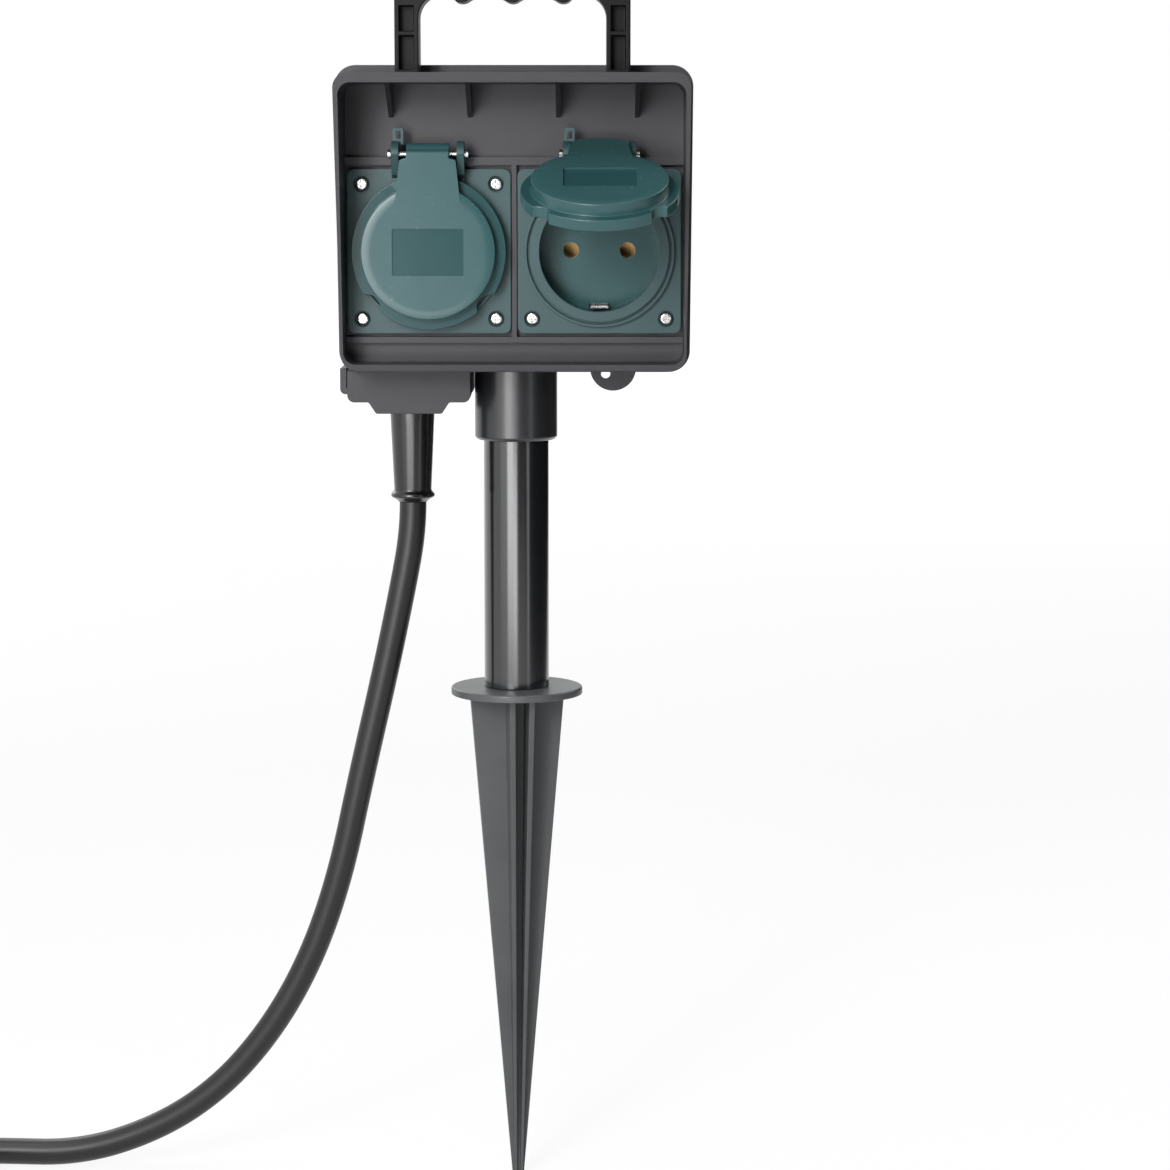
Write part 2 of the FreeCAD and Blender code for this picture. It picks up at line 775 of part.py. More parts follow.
def make_carry_handle():
    """Carry handle: two channel posts and a grip with finger hollows, pegged into the hood's roof."""
    body = new_body("carry_handle")
    half, corner = size("handle_half"), size("handle_corner")
    low, high = size("head_top") - size("frame_top_step"), size("handle_top")
    back = size("handle_front") - size("handle_depth")
    inner = half - size("post_width")
    hollow, pitch = size("finger_round"), size("finger_pitch")
    under, peak, rise = size("grip_low"), size("finger_peak_half"), size("finger_peak_rise")
    peak_round = (peak * peak + rise * rise) / (rise * 2)
    bend, crown = size("window_corner"), under + size("window_rise")
    run, drop = inner - bend - pitch - peak, size("window_rise") - rise
    end_round = (run * run + drop * drop) / (drop * 2)
    window = [(inner, low), (inner, crown - bend, bend), (inner - bend, crown, end_round)]
    for place in (pitch, Size.of(0), -pitch):
        window.append((place + peak, under + rise, -peak_round))
        window.append((place - peak, under + rise, hollow))
    window[-1] = (window[-1][0], window[-1][1], end_round)
    window += [
        (bend - inner, crown, bend), (-inner, crown - bend), (-inner, low),
        (-half, low), (-half, high - corner, -corner), (corner - half, high),
        (half - corner, high, -corner), (half, high - corner), (half, low),
    ]
    pad(body, "XZ_Plane", back, size("handle_depth"), [window])
    lip, web = size("channel_lip"), size("web_height")
    for side in (-1, 1):
        post = side * (half - size("post_width") / 2)
        room = size("post_width") / 2 - lip
        spans = [(low + 1, web), (web + size("web_thick"), under - 1)]
        for bottom, top in spans:
            channel = [rectangle(post - room, post + room, bottom, top)]
            pocket(body, "XZ_Plane", size("handle_front"), size("channel_depth"), channel)
            pocket(body, "XZ_Plane", back + size("channel_depth"), size("channel_depth") + 1, channel)
        peg = (post, -back - size("handle_depth") / 2, size("peg_radius"))
        pad(body, "XY_Plane", low - size("peg_length"), size("peg_length") + 0.5, rings=[peg])


def hinge_rise():
    """Height of a lid's hinge above its socket's axis."""
    return size("hinge_up") - size("socket_up")


def plate_back():
    return size("panel_front") + size("plate_gasket_thick")


def plate_front():
    return plate_back() + size("plate_thick")


def ring_front():
    return plate_front() + size("ring_reach")


def floor_front():
    return ring_front() - size("well_depth")


def floor_back():
    return floor_front() - size("floor_thick")


def carrier_front():
    return floor_back() - size("clip_thick")


def carrier_back():
    return carrier_front() - size("carrier_length")


def socket_body(name, side_name, side):
    """A sub-part of one socket, drawn about the socket's own axis."""
    return new_body(f"{name}_{side_name}", side * size("socket_across"), 0, size("socket_up"))


def make_flange_gasket(side_name, side):
    """Soft flat gasket between the panel and a socket flange."""
    body = socket_body("flange_gasket", side_name, side)
    half = size("plate_side") / 2 - 0.6
    hole = insert_radius() + size("cord_fit") * 6
    screws = [(x, z, size("screw_shank_radius") + size("cord_fit")) for x, z in flange_screw_places(0, 0)]
    pad(body, "XZ_Plane", size("panel_front"), size("plate_gasket_thick"),
        [rounded(-half, half, -half, half, size("plate_corner"))], [(0, 0, hole)] + screws)


def make_socket_flange(side_name, side):
    """Green socket flange: plate, sealing collar with a drip moat, hinge ears and a small loop."""
    body = socket_body("socket_flange", side_name, side)
    half = size("plate_side") / 2
    pad(body, "XZ_Plane", plate_back(), size("plate_thick"),
        [rounded(-half, half, -half, half, size("plate_corner"))])
    pad(body, "XZ_Plane", plate_front(), size("ring_reach"), rings=[(0, 0, size("collar_ring_radius"))])
    pocket(body, "XZ_Plane", ring_front(), size("ring_reach") * 0.8,
           rings=[(0, 0, size("moat_outer")), (0, 0, size("moat_inner"))])
    hinge, rise, round_ear = -size("hinge_front"), hinge_rise(), size("ear_radius")
    foot = size("collar_ring_radius") - size("ear_radius") * 0.57
    behind = -plate_front() + 0.3
    clear = -plate_front() - size("lid_gap")
    ear = [
        (behind, foot), (clear - 1.6, foot), (clear - 1.6, foot + 1.7), (hinge, foot + 2.7),
        (hinge - round_ear, rise, -round_ear),
        (hinge + round_ear * 0.70711, rise + round_ear * 0.70711),
        (clear, rise), (clear, half), (behind, half),
    ]
    for start in (size("ear_inner"), -size("ear_inner") - size("ear_thick")):
        pad(body, "YZ_Plane", start, size("ear_thick"), [ear])
    pin = (hinge, rise, size("pin_radius") + size("hinge_fit") / 2)
    pocket(body, "YZ_Plane", size("pin_half"), size("pin_half") * 2, rings=[pin])
    loop_left = -size("ear_inner") - size("ear_thick") + 0.4
    loop_right = loop_left + size("loop_width")
    loop_top = rise + round_ear + size("loop_height")
    loop_front = size("hinge_front") - 1.0
    pad(body, "XZ_Plane", loop_front - size("loop_thick"), size("loop_thick"),
        [rectangle(loop_left, loop_right, rise + round_ear - 1.2, loop_top)])
    pocket(body, "XZ_Plane", loop_front, size("loop_thick"),
           [rectangle(loop_left + 1, loop_right - 1, rise + round_ear + 0.8, loop_top - 1)])
    pocket(body, "XZ_Plane", ring_front(), ring_front() - plate_back(), rings=[(0, 0, size("well_radius"))])
    pocket(body, "XZ_Plane", ring_front() - size("rim_thick"), ring_front() - size("rim_thick") - plate_back(),
           rings=[(0, 0, insert_radius() + size("insert_fit"))])
    places = flange_screw_places(0, 0)
    pocket(body, "XZ_Plane", plate_front(), size("screw_head_sunk"),
           rings=[(x, z, size("screw_head_radius") + size("screw_head_gap")) for x, z in places])
    pocket(body, "XZ_Plane", plate_front(), size("plate_thick"),
           rings=[(x, z, size("screw_shank_radius") + size("cord_fit")) for x, z in places])


def make_well_insert(side_name, side):
    """Dark well insert: the round well with its floor, two pin holes and two earth clip slots."""
    body = socket_body("well_insert", side_name, side)
    front, well = ring_front() - size("rim_thick"), size("well_radius")
    turn(body, "XY_Plane", [
        (0, -floor_back()), (0, -floor_front()), (well, -floor_front()), (well, -front),
        (insert_radius(), -front), (insert_radius(), -floor_back()),
    ])
    holes = [(a * size("pin_hole_half"), 0, size("pin_hole_radius")) for a in (-1, 1)]
    pocket(body, "XZ_Plane", floor_front(), size("floor_thick"), rings=holes)
    gap = size("clip_slot_gap")
    half = size("clip_half_width") + gap
    low, high = size("clip_radius") - gap, size("clip_radius") + size("clip_thick") + gap
    pocket(body, "XZ_Plane", floor_front(), size("floor_thick"),
           [rectangle(-half, half, low, high), rectangle(-half, half, -high, -low)])


def make_contact_carrier(side_name, side):
    """Moulded block behind the well that holds the two contact sleeves and the earth tail."""
    body = socket_body("contact_carrier", side_name, side)
    sleeve = size("pin_hole_radius") + size("contact_wall") + size("contact_fit")
    bores = [(a * size("pin_hole_half"), 0, sleeve) for a in (-1, 1)]
    bores.append((0, 0, size("pin_radius") * 1.5 + size("contact_fit")))
    pad(body, "XZ_Plane", carrier_back(), size("carrier_length"), rings=[(0, 0, size("carrier_radius"))] + bores)


def make_earth_clip(side_name, side):
    """Earth clip: two spring fingers in the well, their bridge, and a tail with a terminal."""
    body = socket_body("earth_clip", side_name, side)
    half, inner = size("clip_half_width"), size("clip_radius")
    outer = inner + size("clip_thick")
    pad(body, "XZ_Plane", carrier_front(), size("clip_thick"), [rectangle(-half, half, -outer, outer)])
    reach = floor_front() + size("clip_reach") - carrier_front()
    pad(body, "XZ_Plane", carrier_front(), reach,
        [rectangle(-half, half, inner, outer), rectangle(-half, half, -outer, -inner)])
    pad(body, "XZ_Plane", carrier_back(), size("carrier_length"), rings=[(0, 0, size("pin_radius") * 1.5)])
    side_half = size("terminal_side") / 2
    back = carrier_back() - size("terminal_length")
    pad(body, "XZ_Plane", back, size("terminal_length"), [rectangle(-side_half, side_half, -side_half, side_half)])
    pocket(body, "XZ_Plane", back + size("terminal_length") * 0.7, size("terminal_length") * 0.7,
           rings=[(0, 0, size("screw_shank_radius") + size("cord_fit"))])


def socket_place(side):
    return V(side * mm("socket_across"), 0, mm("socket_up"))


def make_contacts(side_name, side):
    """The two brass contact sleeves, each with a terminal block behind the carrier."""
    bore = mm("pin_hole_radius") - mm("contact_fit")
    outer = mm("pin_hole_radius") + mm("contact_wall")
    front, back = -floor_back().number, -carrier_back().number
    half, end = mm("terminal_side") / 2, back + mm("terminal_length")
    solids = []
    for a in (-1, 1):
        x = a * mm("pin_hole_half")
        sleeve = rod(V(x, front, 0), V(x, back, 0), outer)
        terminal = block(V(x - half, back, -half), V(x + half, end, half))
        bored = rod(V(x, front, 0), V(x, front + mm("contact_length"), 0), bore)
        tapped = rod(V(x, end - mm("terminal_length") * 0.7, 0), V(x, end, 0),
                     mm("screw_shank_radius") + mm("cord_fit"))
        solids.append(sleeve.fuse(terminal).cut(bored).cut(tapped).removeSplitter())
    shape = Part.makeCompound(solids)
    shaped(f"contacts_{side_name}", shape, FreeCAD.Placement(socket_place(side), FreeCAD.Rotation()))


def cross_slot_screw(head, head_thick, shank, length):
    """A screw along +Y whose head's face is at the origin, with a cross slot."""
    disc = rod(V(0, 0, 0), V(0, head_thick, 0), head)
    front = [edge for edge in disc.Edges if edge.BoundBox.YMax < head_thick * 0.5 and edge.BoundBox.XLength > head]
    whole = disc.makeFillet(head_thick * 0.45, front).fuse(rod(V(0, head_thick * 0.6, 0), V(0, length, 0), shank))
    arm, width = head * 0.68, head * 0.17
    for across, up in ((arm, width), (width, arm)):
        whole = whole.cut(block(V(-across, -1, -up), V(across, head_thick * 0.55, up)))
    return whole.removeSplitter()


def make_terminal_screws(side_name, side):
    """The three terminal screws of one socket."""
    back = -carrier_back().number + mm("terminal_length")
    head = mm("screw_head_radius") * 0.85
    screw = cross_slot_screw(head, 1.2, mm("screw_shank_radius"), 1.2 + mm("terminal_length") * 0.65)
    solids = []
    for x in (-mm("pin_hole_half"), 0, mm("pin_hole_half")):
        turned = screw.copy()
        turned.Placement = FreeCAD.Placement(V(x, back + 1.2, 0), FreeCAD.Rotation(V(0, 0, 1), 180))
        solids.append(turned)
    shaped(f"terminal_screws_{side_name}", Part.makeCompound(solids),
           FreeCAD.Placement(socket_place(side), FreeCAD.Rotation()))


def make_flange_screws(side_name, side):
    """The four bright cross-slot screws of one socket flange."""
    front = -plate_front().number
    sunk, half = mm("screw_head_sunk"), mm("screw_spacing") / 2
    screw = cross_slot_screw(mm("screw_head_radius"), sunk, mm("screw_shank_radius"),
                             mm("plate_thick") + mm("plate_gasket_thick") + mm("panel_thick") + 2)
    solids = []
    for a in (-1, 1):
        for b in (-1, 1):
            placed = screw.copy()
            placed.translate(V(a * half, front, b * half))
            solids.append(placed)
    shaped(f"flange_screws_{side_name}", Part.makeCompound(solids),
           FreeCAD.Placement(socket_place(side), FreeCAD.Rotation()))


def make_hinge_pin(side_name, side):
    """Bright steel hinge pin, headed at both ends outside the ears."""
    body = socket_body("hinge_pin", side_name, side)
    place = (-size("hinge_front"), hinge_rise())
    pad(body, "YZ_Plane", -size("pin_half"), size("pin_half") * 2, rings=[(*place, size("pin_radius"))])
    outside = size("pin_half") - size("pin_head_thick")
    pad(body, "YZ_Plane", outside, size("pin_head_thick"), rings=[(*place, size("pin_head_radius"))])
    pad(body, "YZ_Plane", -size("pin_half"), size("pin_head_thick"), rings=[(*place, size("pin_head_radius"))])


def lid_placement(body, side, angle):
    """Swings a lid's sub-part open about its hinge by an angle."""
    front, rise = size("hinge_front"), hinge_rise()
    angle = size(angle) if angle else Size.of(0)
    body.Placement.Rotation.Axis = V(1, 0, 0)
    body.Placement = FreeCAD.Placement(V(0, 0, 0), FreeCAD.Rotation(V(1, 0, 0), -1))
    bind(body, "Placement.Rotation.Angle", -angle)
    bind(body, "Placement.Base.x", side * size("socket_across"))
    bind(body, "Placement.Base.y", front * angle.cos() - rise * angle.sin() - front)
    bind(body, "Placement.Base.z", size("hinge_up") - front * angle.sin() - rise * angle.cos())


def make_lid(side_name, side, angle):
    """Sprung round lid: skirt, raised disc, hinge arm with two knuckles, notches and a bare recess."""
    body = doc.addObject("PartDesign::Body", f"lid_{side_name}")
    body.Label = f"lid_{side_name}"
    back = ring_front() + size("lid_gap")
    step = back + size("skirt_height")
    face = step + size("lid_disc_height")
    ceiling = face - size("lid_wall")
    cavity = size("lid_seal_inner") - 1.4
    turn(body, "XY_Plane", [
        (0, -face), (0, -ceiling), (cavity, -ceiling), (cavity, -back), (size("lid_radius"), -back),
        (size("lid_radius"), -step), (size("lid_disc_radius"), -step),
        (size("lid_disc_radius"), -face + size("crown_rise")), (size("crown_radius"), -face),
    ])
    pocket(body, "XZ_Plane", back + size("lid_seal_thick") - 0.1, size("lid_seal_thick") - 0.1,
           rings=[(0, 0, size("lid_seal_outer") + size("cord_fit")), (0, 0, size("lid_seal_inner") - size("cord_fit"))])
    rise, up = hinge_rise(), size("socket_up")
    half, shoulder, low = size("arm_half"), size("arm_shoulder_half"), size("arm_low_half")
    top = rise + size("barrel_radius") * 0.4
    shoulder_up, shoulder_low = size("arm_shoulder_up") - up, size("arm_shoulder_low") - up
    arm = [
        (-low, size("arm_low") - up), (low, size("arm_low") - up), (shoulder, shoulder_low), (half, shoulder_up),
        (half, top), (-half, top), (-half, shoulder_up), (-shoulder, shoulder_low),
    ]
    arm_back = size("hinge_front") + size("barrel_radius") * 0.45
    pad(body, "XZ_Plane", arm_back, face + size("arm_proud") - arm_back, [arm])
    brow = -(face + size("arm_proud")).number
    fillet(body, size("arm_brow"), lambda edge: edge.BoundBox.ZMin > top.number - 0.01
           and edge.BoundBox.YMax < brow + 0.01 and edge.BoundBox.XLength > half.number)
    hinge = (-size("hinge_front"), rise)
    pad(body, "YZ_Plane", -half, half * 2, rings=[(*hinge, size("barrel_radius"))])
    gap = size("knuckle_gap_half")
    reach = size("barrel_radius") + 0.5
    pocket(body, "XZ_Plane", size("hinge_front") + size("spring_room"), size("spring_room") + reach,
           [rectangle(-gap, gap, rise - reach, rise)])
    pocket(body, "XZ_Plane", size("hinge_front"), reach, [rectangle(-gap, gap, rise - 0.1, rise + reach)])
    pocket(body, "YZ_Plane", gap, gap * 2, rings=[(*hinge, size("spring_room"))])
    pocket(body, "YZ_Plane", half, half * 2, rings=[(*hinge, size("pin_radius") + size("hinge_fit"))])
    wide, tall = size("label_half_width"), size("label_half_height")
    pocket(body, "XZ_Plane", face, size("label_depth"), [rectangle(-wide, wide, -tall, tall)])
    turned, place = size("notch_angle"), size("notch_place")
    notches = [(a * (place * turned.sin()), -(place * turned.cos()), size("notch_radius")) for a in (-1, 1)]
    pocket(body, "XZ_Plane", step, size("skirt_height"), rings=notches)
    lid_placement(body, side, angle)


def make_lid_seal(side_name, side, angle):
    """Soft ring seal in the lid's groove."""
    body = doc.addObject("PartDesign::Body", f"lid_seal_{side_name}")
    body.Label = f"lid_seal_{side_name}"
    pad(body, "XZ_Plane", ring_front() + size("lid_gap") - 0.1, size("lid_seal_thick"),
        rings=[(0, 0, size("lid_seal_outer")), (0, 0, size("lid_seal_inner"))])
    lid_placement(body, side, angle)


def half_turn(start, across, along):
    """A half turn from start to start + across, setting off in the direction along."""
    middle = start + across * 0.5 + along * (across.Length / 2)
    return Part.Arc(start, middle, start + across).toShape()


def make_lid_spring(side_name, side):
    """Torsion spring round the hinge pin, one leg on the plate and one behind the lid's arm."""
    radius, wire, pitch = mm("spring_radius"), mm("spring_wire") / 2, mm("spring_pitch")
    hinge = V(0, -mm("hinge_front"), hinge_rise().number)
    turns = 4
    start = hinge + V(-pitch * turns / 2, 0, -radius)
    back = -plate_front().number - wire - 0.3
    edges = [Part.LineSegment(V(start.x, back, start.z), start).toShape()]
    here, along = start, V(0, -1, 0)
    for i in range(turns * 2):
        rise = radius * 2 if i % 2 == 0 else -radius * 2
        across = V(pitch / 2, 0, rise)
        edges.append(half_turn(here, across, along))
        here, along = here + across, along * -1
    edges.append(Part.LineSegment(here, here + along * (mm("spring_room") - wire - 0.4)).toShape())
    shaped(f"lid_spring_{side_name}", tube(Part.Wire(edges), wire),
           FreeCAD.Placement(socket_place(side), FreeCAD.Rotation()))


def make_housing_screws():
    """The four screws that hold the rear shell to the front frame, driven from behind."""
    back = mm("head_back")
    screw = cross_slot_screw(mm("screw_head_radius"), mm("screw_head_sunk"), mm("screw_shank_radius"),
                             back + panel_back().number + mm("panel_thick") * 0.6)
    solids = []
    for across, up in housing_screw_places():
        placed = screw.copy()
        placed.Placement = FreeCAD.Placement(V(across.number, back, up.number), FreeCAD.Rotation(V(0, 0, 1), 180))
        solids.append(placed)
    shaped("housing_screws", Part.makeCompound(solids))


def entry_outline(left, right, high, low, inset):
    """The stepped outline of the cable entry below the head, brought in by an inset."""
    shoulder, step, foot = size("entry_shoulder_in"), size("entry_step_in"), size("entry_low_in")
    left, right = left + inset, right - inset
    shoulder_up, step_up = size("entry_shoulder_up"), size("entry_step_up") + inset
    turned = size("entry_corner")
    return [
        (left, high), (left, shoulder_up, turned), (left + shoulder, step_up), (left + step, step_up),
        (left + foot, low + inset), (right - foot, low + inset), (right - step, step_up),
        (right - shoulder, step_up, turned), (right, shoulder_up), (right, high),
    ]


def entry_step_edge(edge):
    """Whether an edge runs front to back at one of the entry's four steps."""
    ends = [vertex.Point for vertex in edge.Vertexes]
    if len(ends) < 2 or abs(ends[0].y - ends[1].y) < mm("entry_wall"):
        return False
    left = -mm("entry_left") + mm("entry_step_in")
    right = -mm("entry_right") - mm("entry_step_in")
    spot = ends[0]
    return spot.z < mm("back_half_low") + mm("entry_wall") / 10 and left - 0.1 < spot.x < right + 0.1


def cover_screw_places():
    up, inward = size("cover_screw_up"), size("cover_screw_in")
    return [(-size("entry_left") + inward, up), (-size("entry_right") - inward, up)]


def make_cable_entry_cover():
    """Stepped front half of the cable entry, hollow, with two screw bosses."""
    body = new_body("cable_entry_cover")
    split, front, wall = size("entry_split_front"), size("cover_front"), size("entry_wall")
    high, low = size("head_bottom"), size("entry_low")
    left, right = -size("entry_left"), -size("entry_right")
    pad(body, "XZ_Plane", split, front - split, [entry_outline(left, right, high, low, Size.of(0))])
    fillet(body, size("entry_step_round"), entry_step_edge)
    pocket(body, "XZ_Plane", front - wall, front - wall - split, [entry_outline(left, right, high + 1, low, wall)])
    bosses = [(x, z, size("cover_boss_radius")) for x, z in cover_screw_places()]
    pad(body, "XZ_Plane", split, front - split - wall / 2, rings=bosses)
    shanks = [(x, z, size("screw_shank_radius") + size("cord_fit")) for x, z in cover_screw_places()]
    pocket(body, "XZ_Plane", front - wall, front, rings=shanks)
    boot = (-size("boot_across"), -split, size("boot_top_radius") + size("cord_fit"))
    pocket(body, "XY_Plane", low + wall + 0.5, wall * 2, rings=[boot])


def make_cable_entry_back():
    """Rear half of the cable entry, a little wider, with the saddle for the cord clamp."""
    body = new_body("cable_entry_back")
    split, back, wall = size("entry_split_front"), -size("entry_back"), size("entry_wall")
    high, low = size("head_bottom"), size("entry_low")
    left, right, shelf = -size("back_half_left"), -size("back_half_right"), size("back_half_low")
    step_left = -size("entry_left") + size("entry_step_in")
    step_right = -size("entry_right") - size("entry_step_in")
    foot = size("entry_low_in") - size("entry_step_in")
    turned = size("back_half_corner")
    shape = [
        (left, high), (left, shelf + turned, turned), (left + turned, shelf), (step_left, shelf),
        (step_left + foot, low), (step_right - foot, low), (step_right, shelf),
        (right - turned, shelf, turned), (right, shelf + turned), (right, high),
    ]
    room = [
        (left + wall, high + 1), (left + wall, shelf + wall), (step_left + wall * 0.6, shelf + wall),
        (step_left + foot + wall * 0.6, low + wall), (step_right - foot - wall * 0.6, low + wall),
        (step_right - wall * 0.6, shelf + wall), (right - wall, shelf + wall), (right - wall, high + 1),
    ]
    pad(body, "XZ_Plane", back, split - back, [shape])
    fillet(body, size("entry_step_round"), entry_step_edge)
    pocket(body, "XZ_Plane", split, split - back - wall, [room])
    across, half = -size("boot_across"), size("clamp_half")
    saddle = rectangle(across - half, across + half, size("clamp_low"), size("clamp_low") + size("clamp_height"))
    pad(body, "XZ_Plane", back + wall / 2, split - back - wall / 2 - size("clamp_gap"), [saddle])
    bosses = [(x, z, size("cover_boss_radius")) for x, z in cover_screw_places()]
    pad(body, "XZ_Plane", back + wall / 2, split - back - wall / 2, rings=bosses)
    fit = size("cord_fit")
    pocket(body, "XY_Plane", size("clamp_low") + size("clamp_height") + 1, size("clamp_height") + 2,
           rings=[(across, -split, size("cord_radius") + fit)])
    pocket(body, "XY_Plane", low + wall + 0.5, wall * 2, rings=[(across, -split, size("boot_top_radius") + fit)])
    shanks = [(x, z, size("screw_shank_radius") + fit) for x, z in cover_screw_places()]
    up = size("clamp_low") + size("clamp_height") / 2
    grip = [(across + a * size("clamp_screw_half"), up, size("screw_shank_radius") + fit) for a in (-1, 1)]
    pocket(body, "XZ_Plane", split, split - back + 1, rings=shanks)
    pocket(body, "XZ_Plane", split, split + size("entry_back") * 0.4, rings=grip)
    heads = [(x, z, size("screw_head_radius") + size("screw_head_gap")) for x, z in cover_screw_places()]
    pocket(body, "XZ_Plane", back + size("screw_head_sunk"), size("screw_head_sunk"), rings=heads)


def make_cover_screws():
    """The two screws of the cable entry, driven from behind."""
    back = mm("entry_back")
    screw = cross_slot_screw(mm("screw_head_radius"), mm("screw_head_sunk"), mm("screw_shank_radius"),
                             back + mm("cover_front") - mm("entry_wall") - 2)
    solids = []
    for across, up in cover_screw_places():
        placed = screw.copy()
        placed.Placement = FreeCAD.Placement(V(across.number, back, up.number), FreeCAD.Rotation(V(0, 0, 1), 180))
        solids.append(placed)
    shaped("cover_screws", Part.makeCompound(solids))


def make_cord_boot():
    """Tapered rubber boot with a flared ring at its foot and a flange held in the cable entry."""
    body = new_body("cord_boot", -size("boot_across"), -size("entry_split_front"), 0)
    bore = size("cord_radius") + size("cord_fit")
    ring_up, ring_half = size("boot_ring_up"), size("boot_ring_half")
    neck, low = size("boot_lip_radius") + 0.4, size("boot_low_radius")
    seat = size("entry_low") + size("entry_wall")
    top = seat + size("boot_flange_thick")
    turn(body, "XZ_Plane", [
        (bore, size("boot_low")), (size("boot_lip_radius"), size("boot_low")), (neck, ring_up - ring_half * 2),
        (size("boot_ring_radius"), ring_up - ring_half * 0.6), (size("boot_ring_radius"), ring_up + ring_half * 0.4),
        (low, ring_up + ring_half * 1.8), (size("boot_top_radius"), size("entry_low") - 1.5),
        (size("boot_top_radius"), seat), (size("boot_flange_radius"), seat), (size("boot_flange_radius"), top),
        (bore, top),
    ])


def make_cord_clamp():
    """Bar that clamps the cord to the saddle inside the cable entry."""
    body = new_body("cord_clamp")
    split, gap = size("entry_split_front"), size("clamp_gap")
    across, half = -size("boot_across"), size("clamp_half")
    low, high = size("clamp_low"), size("clamp_low") + size("clamp_height")
    pad(body, "XZ_Plane", split + gap, size("clamp_front") - split - gap,
        [rectangle(across - half, across + half, low, high)])
    pocket(body, "XY_Plane", high, size("clamp_height"),
           rings=[(across, -split, size("cord_radius") + size("cord_fit"))])
    up = low + size("clamp_height") / 2
    holes = [(across + a * size("clamp_screw_half"), up, size("screw_shank_radius") + size("cord_fit"))
             for a in (-1, 1)]
    pocket(body, "XZ_Plane", size("clamp_front"), size("clamp_front"), rings=holes)


def make_clamp_screws():
    """The two screws of the cord clamp."""
    head = 1.4
    screw = cross_slot_screw(mm("screw_head_radius"), head, mm("screw_shank_radius"), mm("clamp_front") + head)
    solids = []
    for a in (-1, 1):
        placed = screw.copy()
        placed.translate(V(a * mm("clamp_screw_half") - mm("boot_across"), -mm("clamp_front") - head,
                           mm("clamp_low") + mm("clamp_height") / 2))
        solids.append(placed)
    shaped("clamp_screws", Part.makeCompound(solids))


def make_terminal_block():
    """Three-pole terminal block on the housing floor."""
    body = new_body("terminal_block")
    across, half, deep = size("block_across"), size("block_half_width"), size("block_half_depth")
    low = head_floor()
    pad(body, "XZ_Plane", -deep, deep * 2, [rectangle(across - half, across + half, low, low + size("block_height"))])
    up = low + size("block_height") / 2
    holes = [(across + k * size("block_pitch"), up, size("screw_shank_radius") + size("cord_fit"))
             for k in (-1, 0, 1)]
    pocket(body, "XZ_Plane", deep, deep, rings=holes)


def make_block_screws():
    """The three screws of the terminal block."""
    head = 1.2
    screw = cross_slot_screw(mm("screw_head_radius") * 0.9, head, mm("screw_shank_radius"),
                             head + mm("block_half_depth") * 0.9)
    up = head_floor().number + mm("block_height") / 2
    solids = []
    for k in (-1, 0, 1):
        placed = screw.copy()
        placed.translate(V(mm("block_across") + k * mm("block_pitch"), -mm("block_half_depth") - head, up))
        solids.append(placed)
    shaped("block_screws", Part.makeCompound(solids))


def make_inner_lead(label, k):
    """One conductor: cord to block, block to the right socket, and on to the left socket."""
    radius = mm("lead_radius")
    shift = k - 1
    entry = -mm("boot_across") - shift * mm("lead_pitch")
    level = mm("lead_level") + k * mm("lead_pitch")
    pole = mm("block_across") + shift * mm("block_pitch")
    block_top = head_floor().number + mm("block_height")
    terminal = mm("socket_across") + shift * mm("pin_hole_half")
    half = mm("terminal_side") / 2
    behind = -carrier_back().number + mm("terminal_length") / 2
    low, high = mm("socket_up") - half, mm("socket_up") + half
    split = -mm("entry_split_front")
    side_level = head_floor().number + mm("block_height") / 2
    loop = mm("loop_level") + k * mm("lead_pitch") * 1.3
    routes = [
        [V(entry, split, mm("cord_core_up")), V(entry, split, level), V(pole, 0, level), V(pole, 0, block_top)],
        [V(pole, mm("block_half_depth"), side_level), V(pole, behind, side_level),
         V(terminal, behind, side_level + mm("lead_bend_rise")), V(terminal, behind, low)],
        [V(terminal, behind, high), V(terminal, behind, loop), V(-terminal, behind, loop),
         V(-terminal, behind, high)],
    ]
    solids = []
    for points in routes:
        bent = [p for i, p in enumerate(points) if 0 < i < len(points) - 1
                and (p - points[i - 1]).getAngle(points[i + 1] - p) > 0.01]
        path, radii = rounded_path([points[0]] + bent + [points[-1]], radius * 2.5)
        solids.append(tube(path, radius))
    shaped(label, Part.makeCompound(solids))


CORD_ROUTE = [
    (-35.0, -5.0, 66.7), (-35.0, -5.0, 57.0), (-38.7, -4.8, 37.0), (-44.9, -4.2, 8.0), (-53.4, -3.2, -28.0),
    (-61.2, -2.0, -64.0), (-71.8, -0.6, -94.0), (-86.0, 1.0, -119.2), (-104.0, 2.8, -140.3),
    (-126.0, 4.8, -155.5), (-154.0, 6.8, -165.35), (-184.0, 9.2, -165.35), (-208.0, 10.0, -165.35),
    (-226.9, 10.0, -165.35),
]
TAIL_ROUTE = [
    (0.0, 0.0, 0.0), (0.0, -25.0, 0.0), (13.0, -47.5, -1.0), (35.5, -60.5, 3.65), (62.5, -60.5, 3.65),
]


def coil_start():
    """Where the coil's first turn begins, on the floor under the tie's thickness."""
    up = mm("floor_up") + mm("cord_radius") + mm("tie_thick") + mm("tie_gap")
    return V(mm("coil_across"), mm("coil_depth"), up)


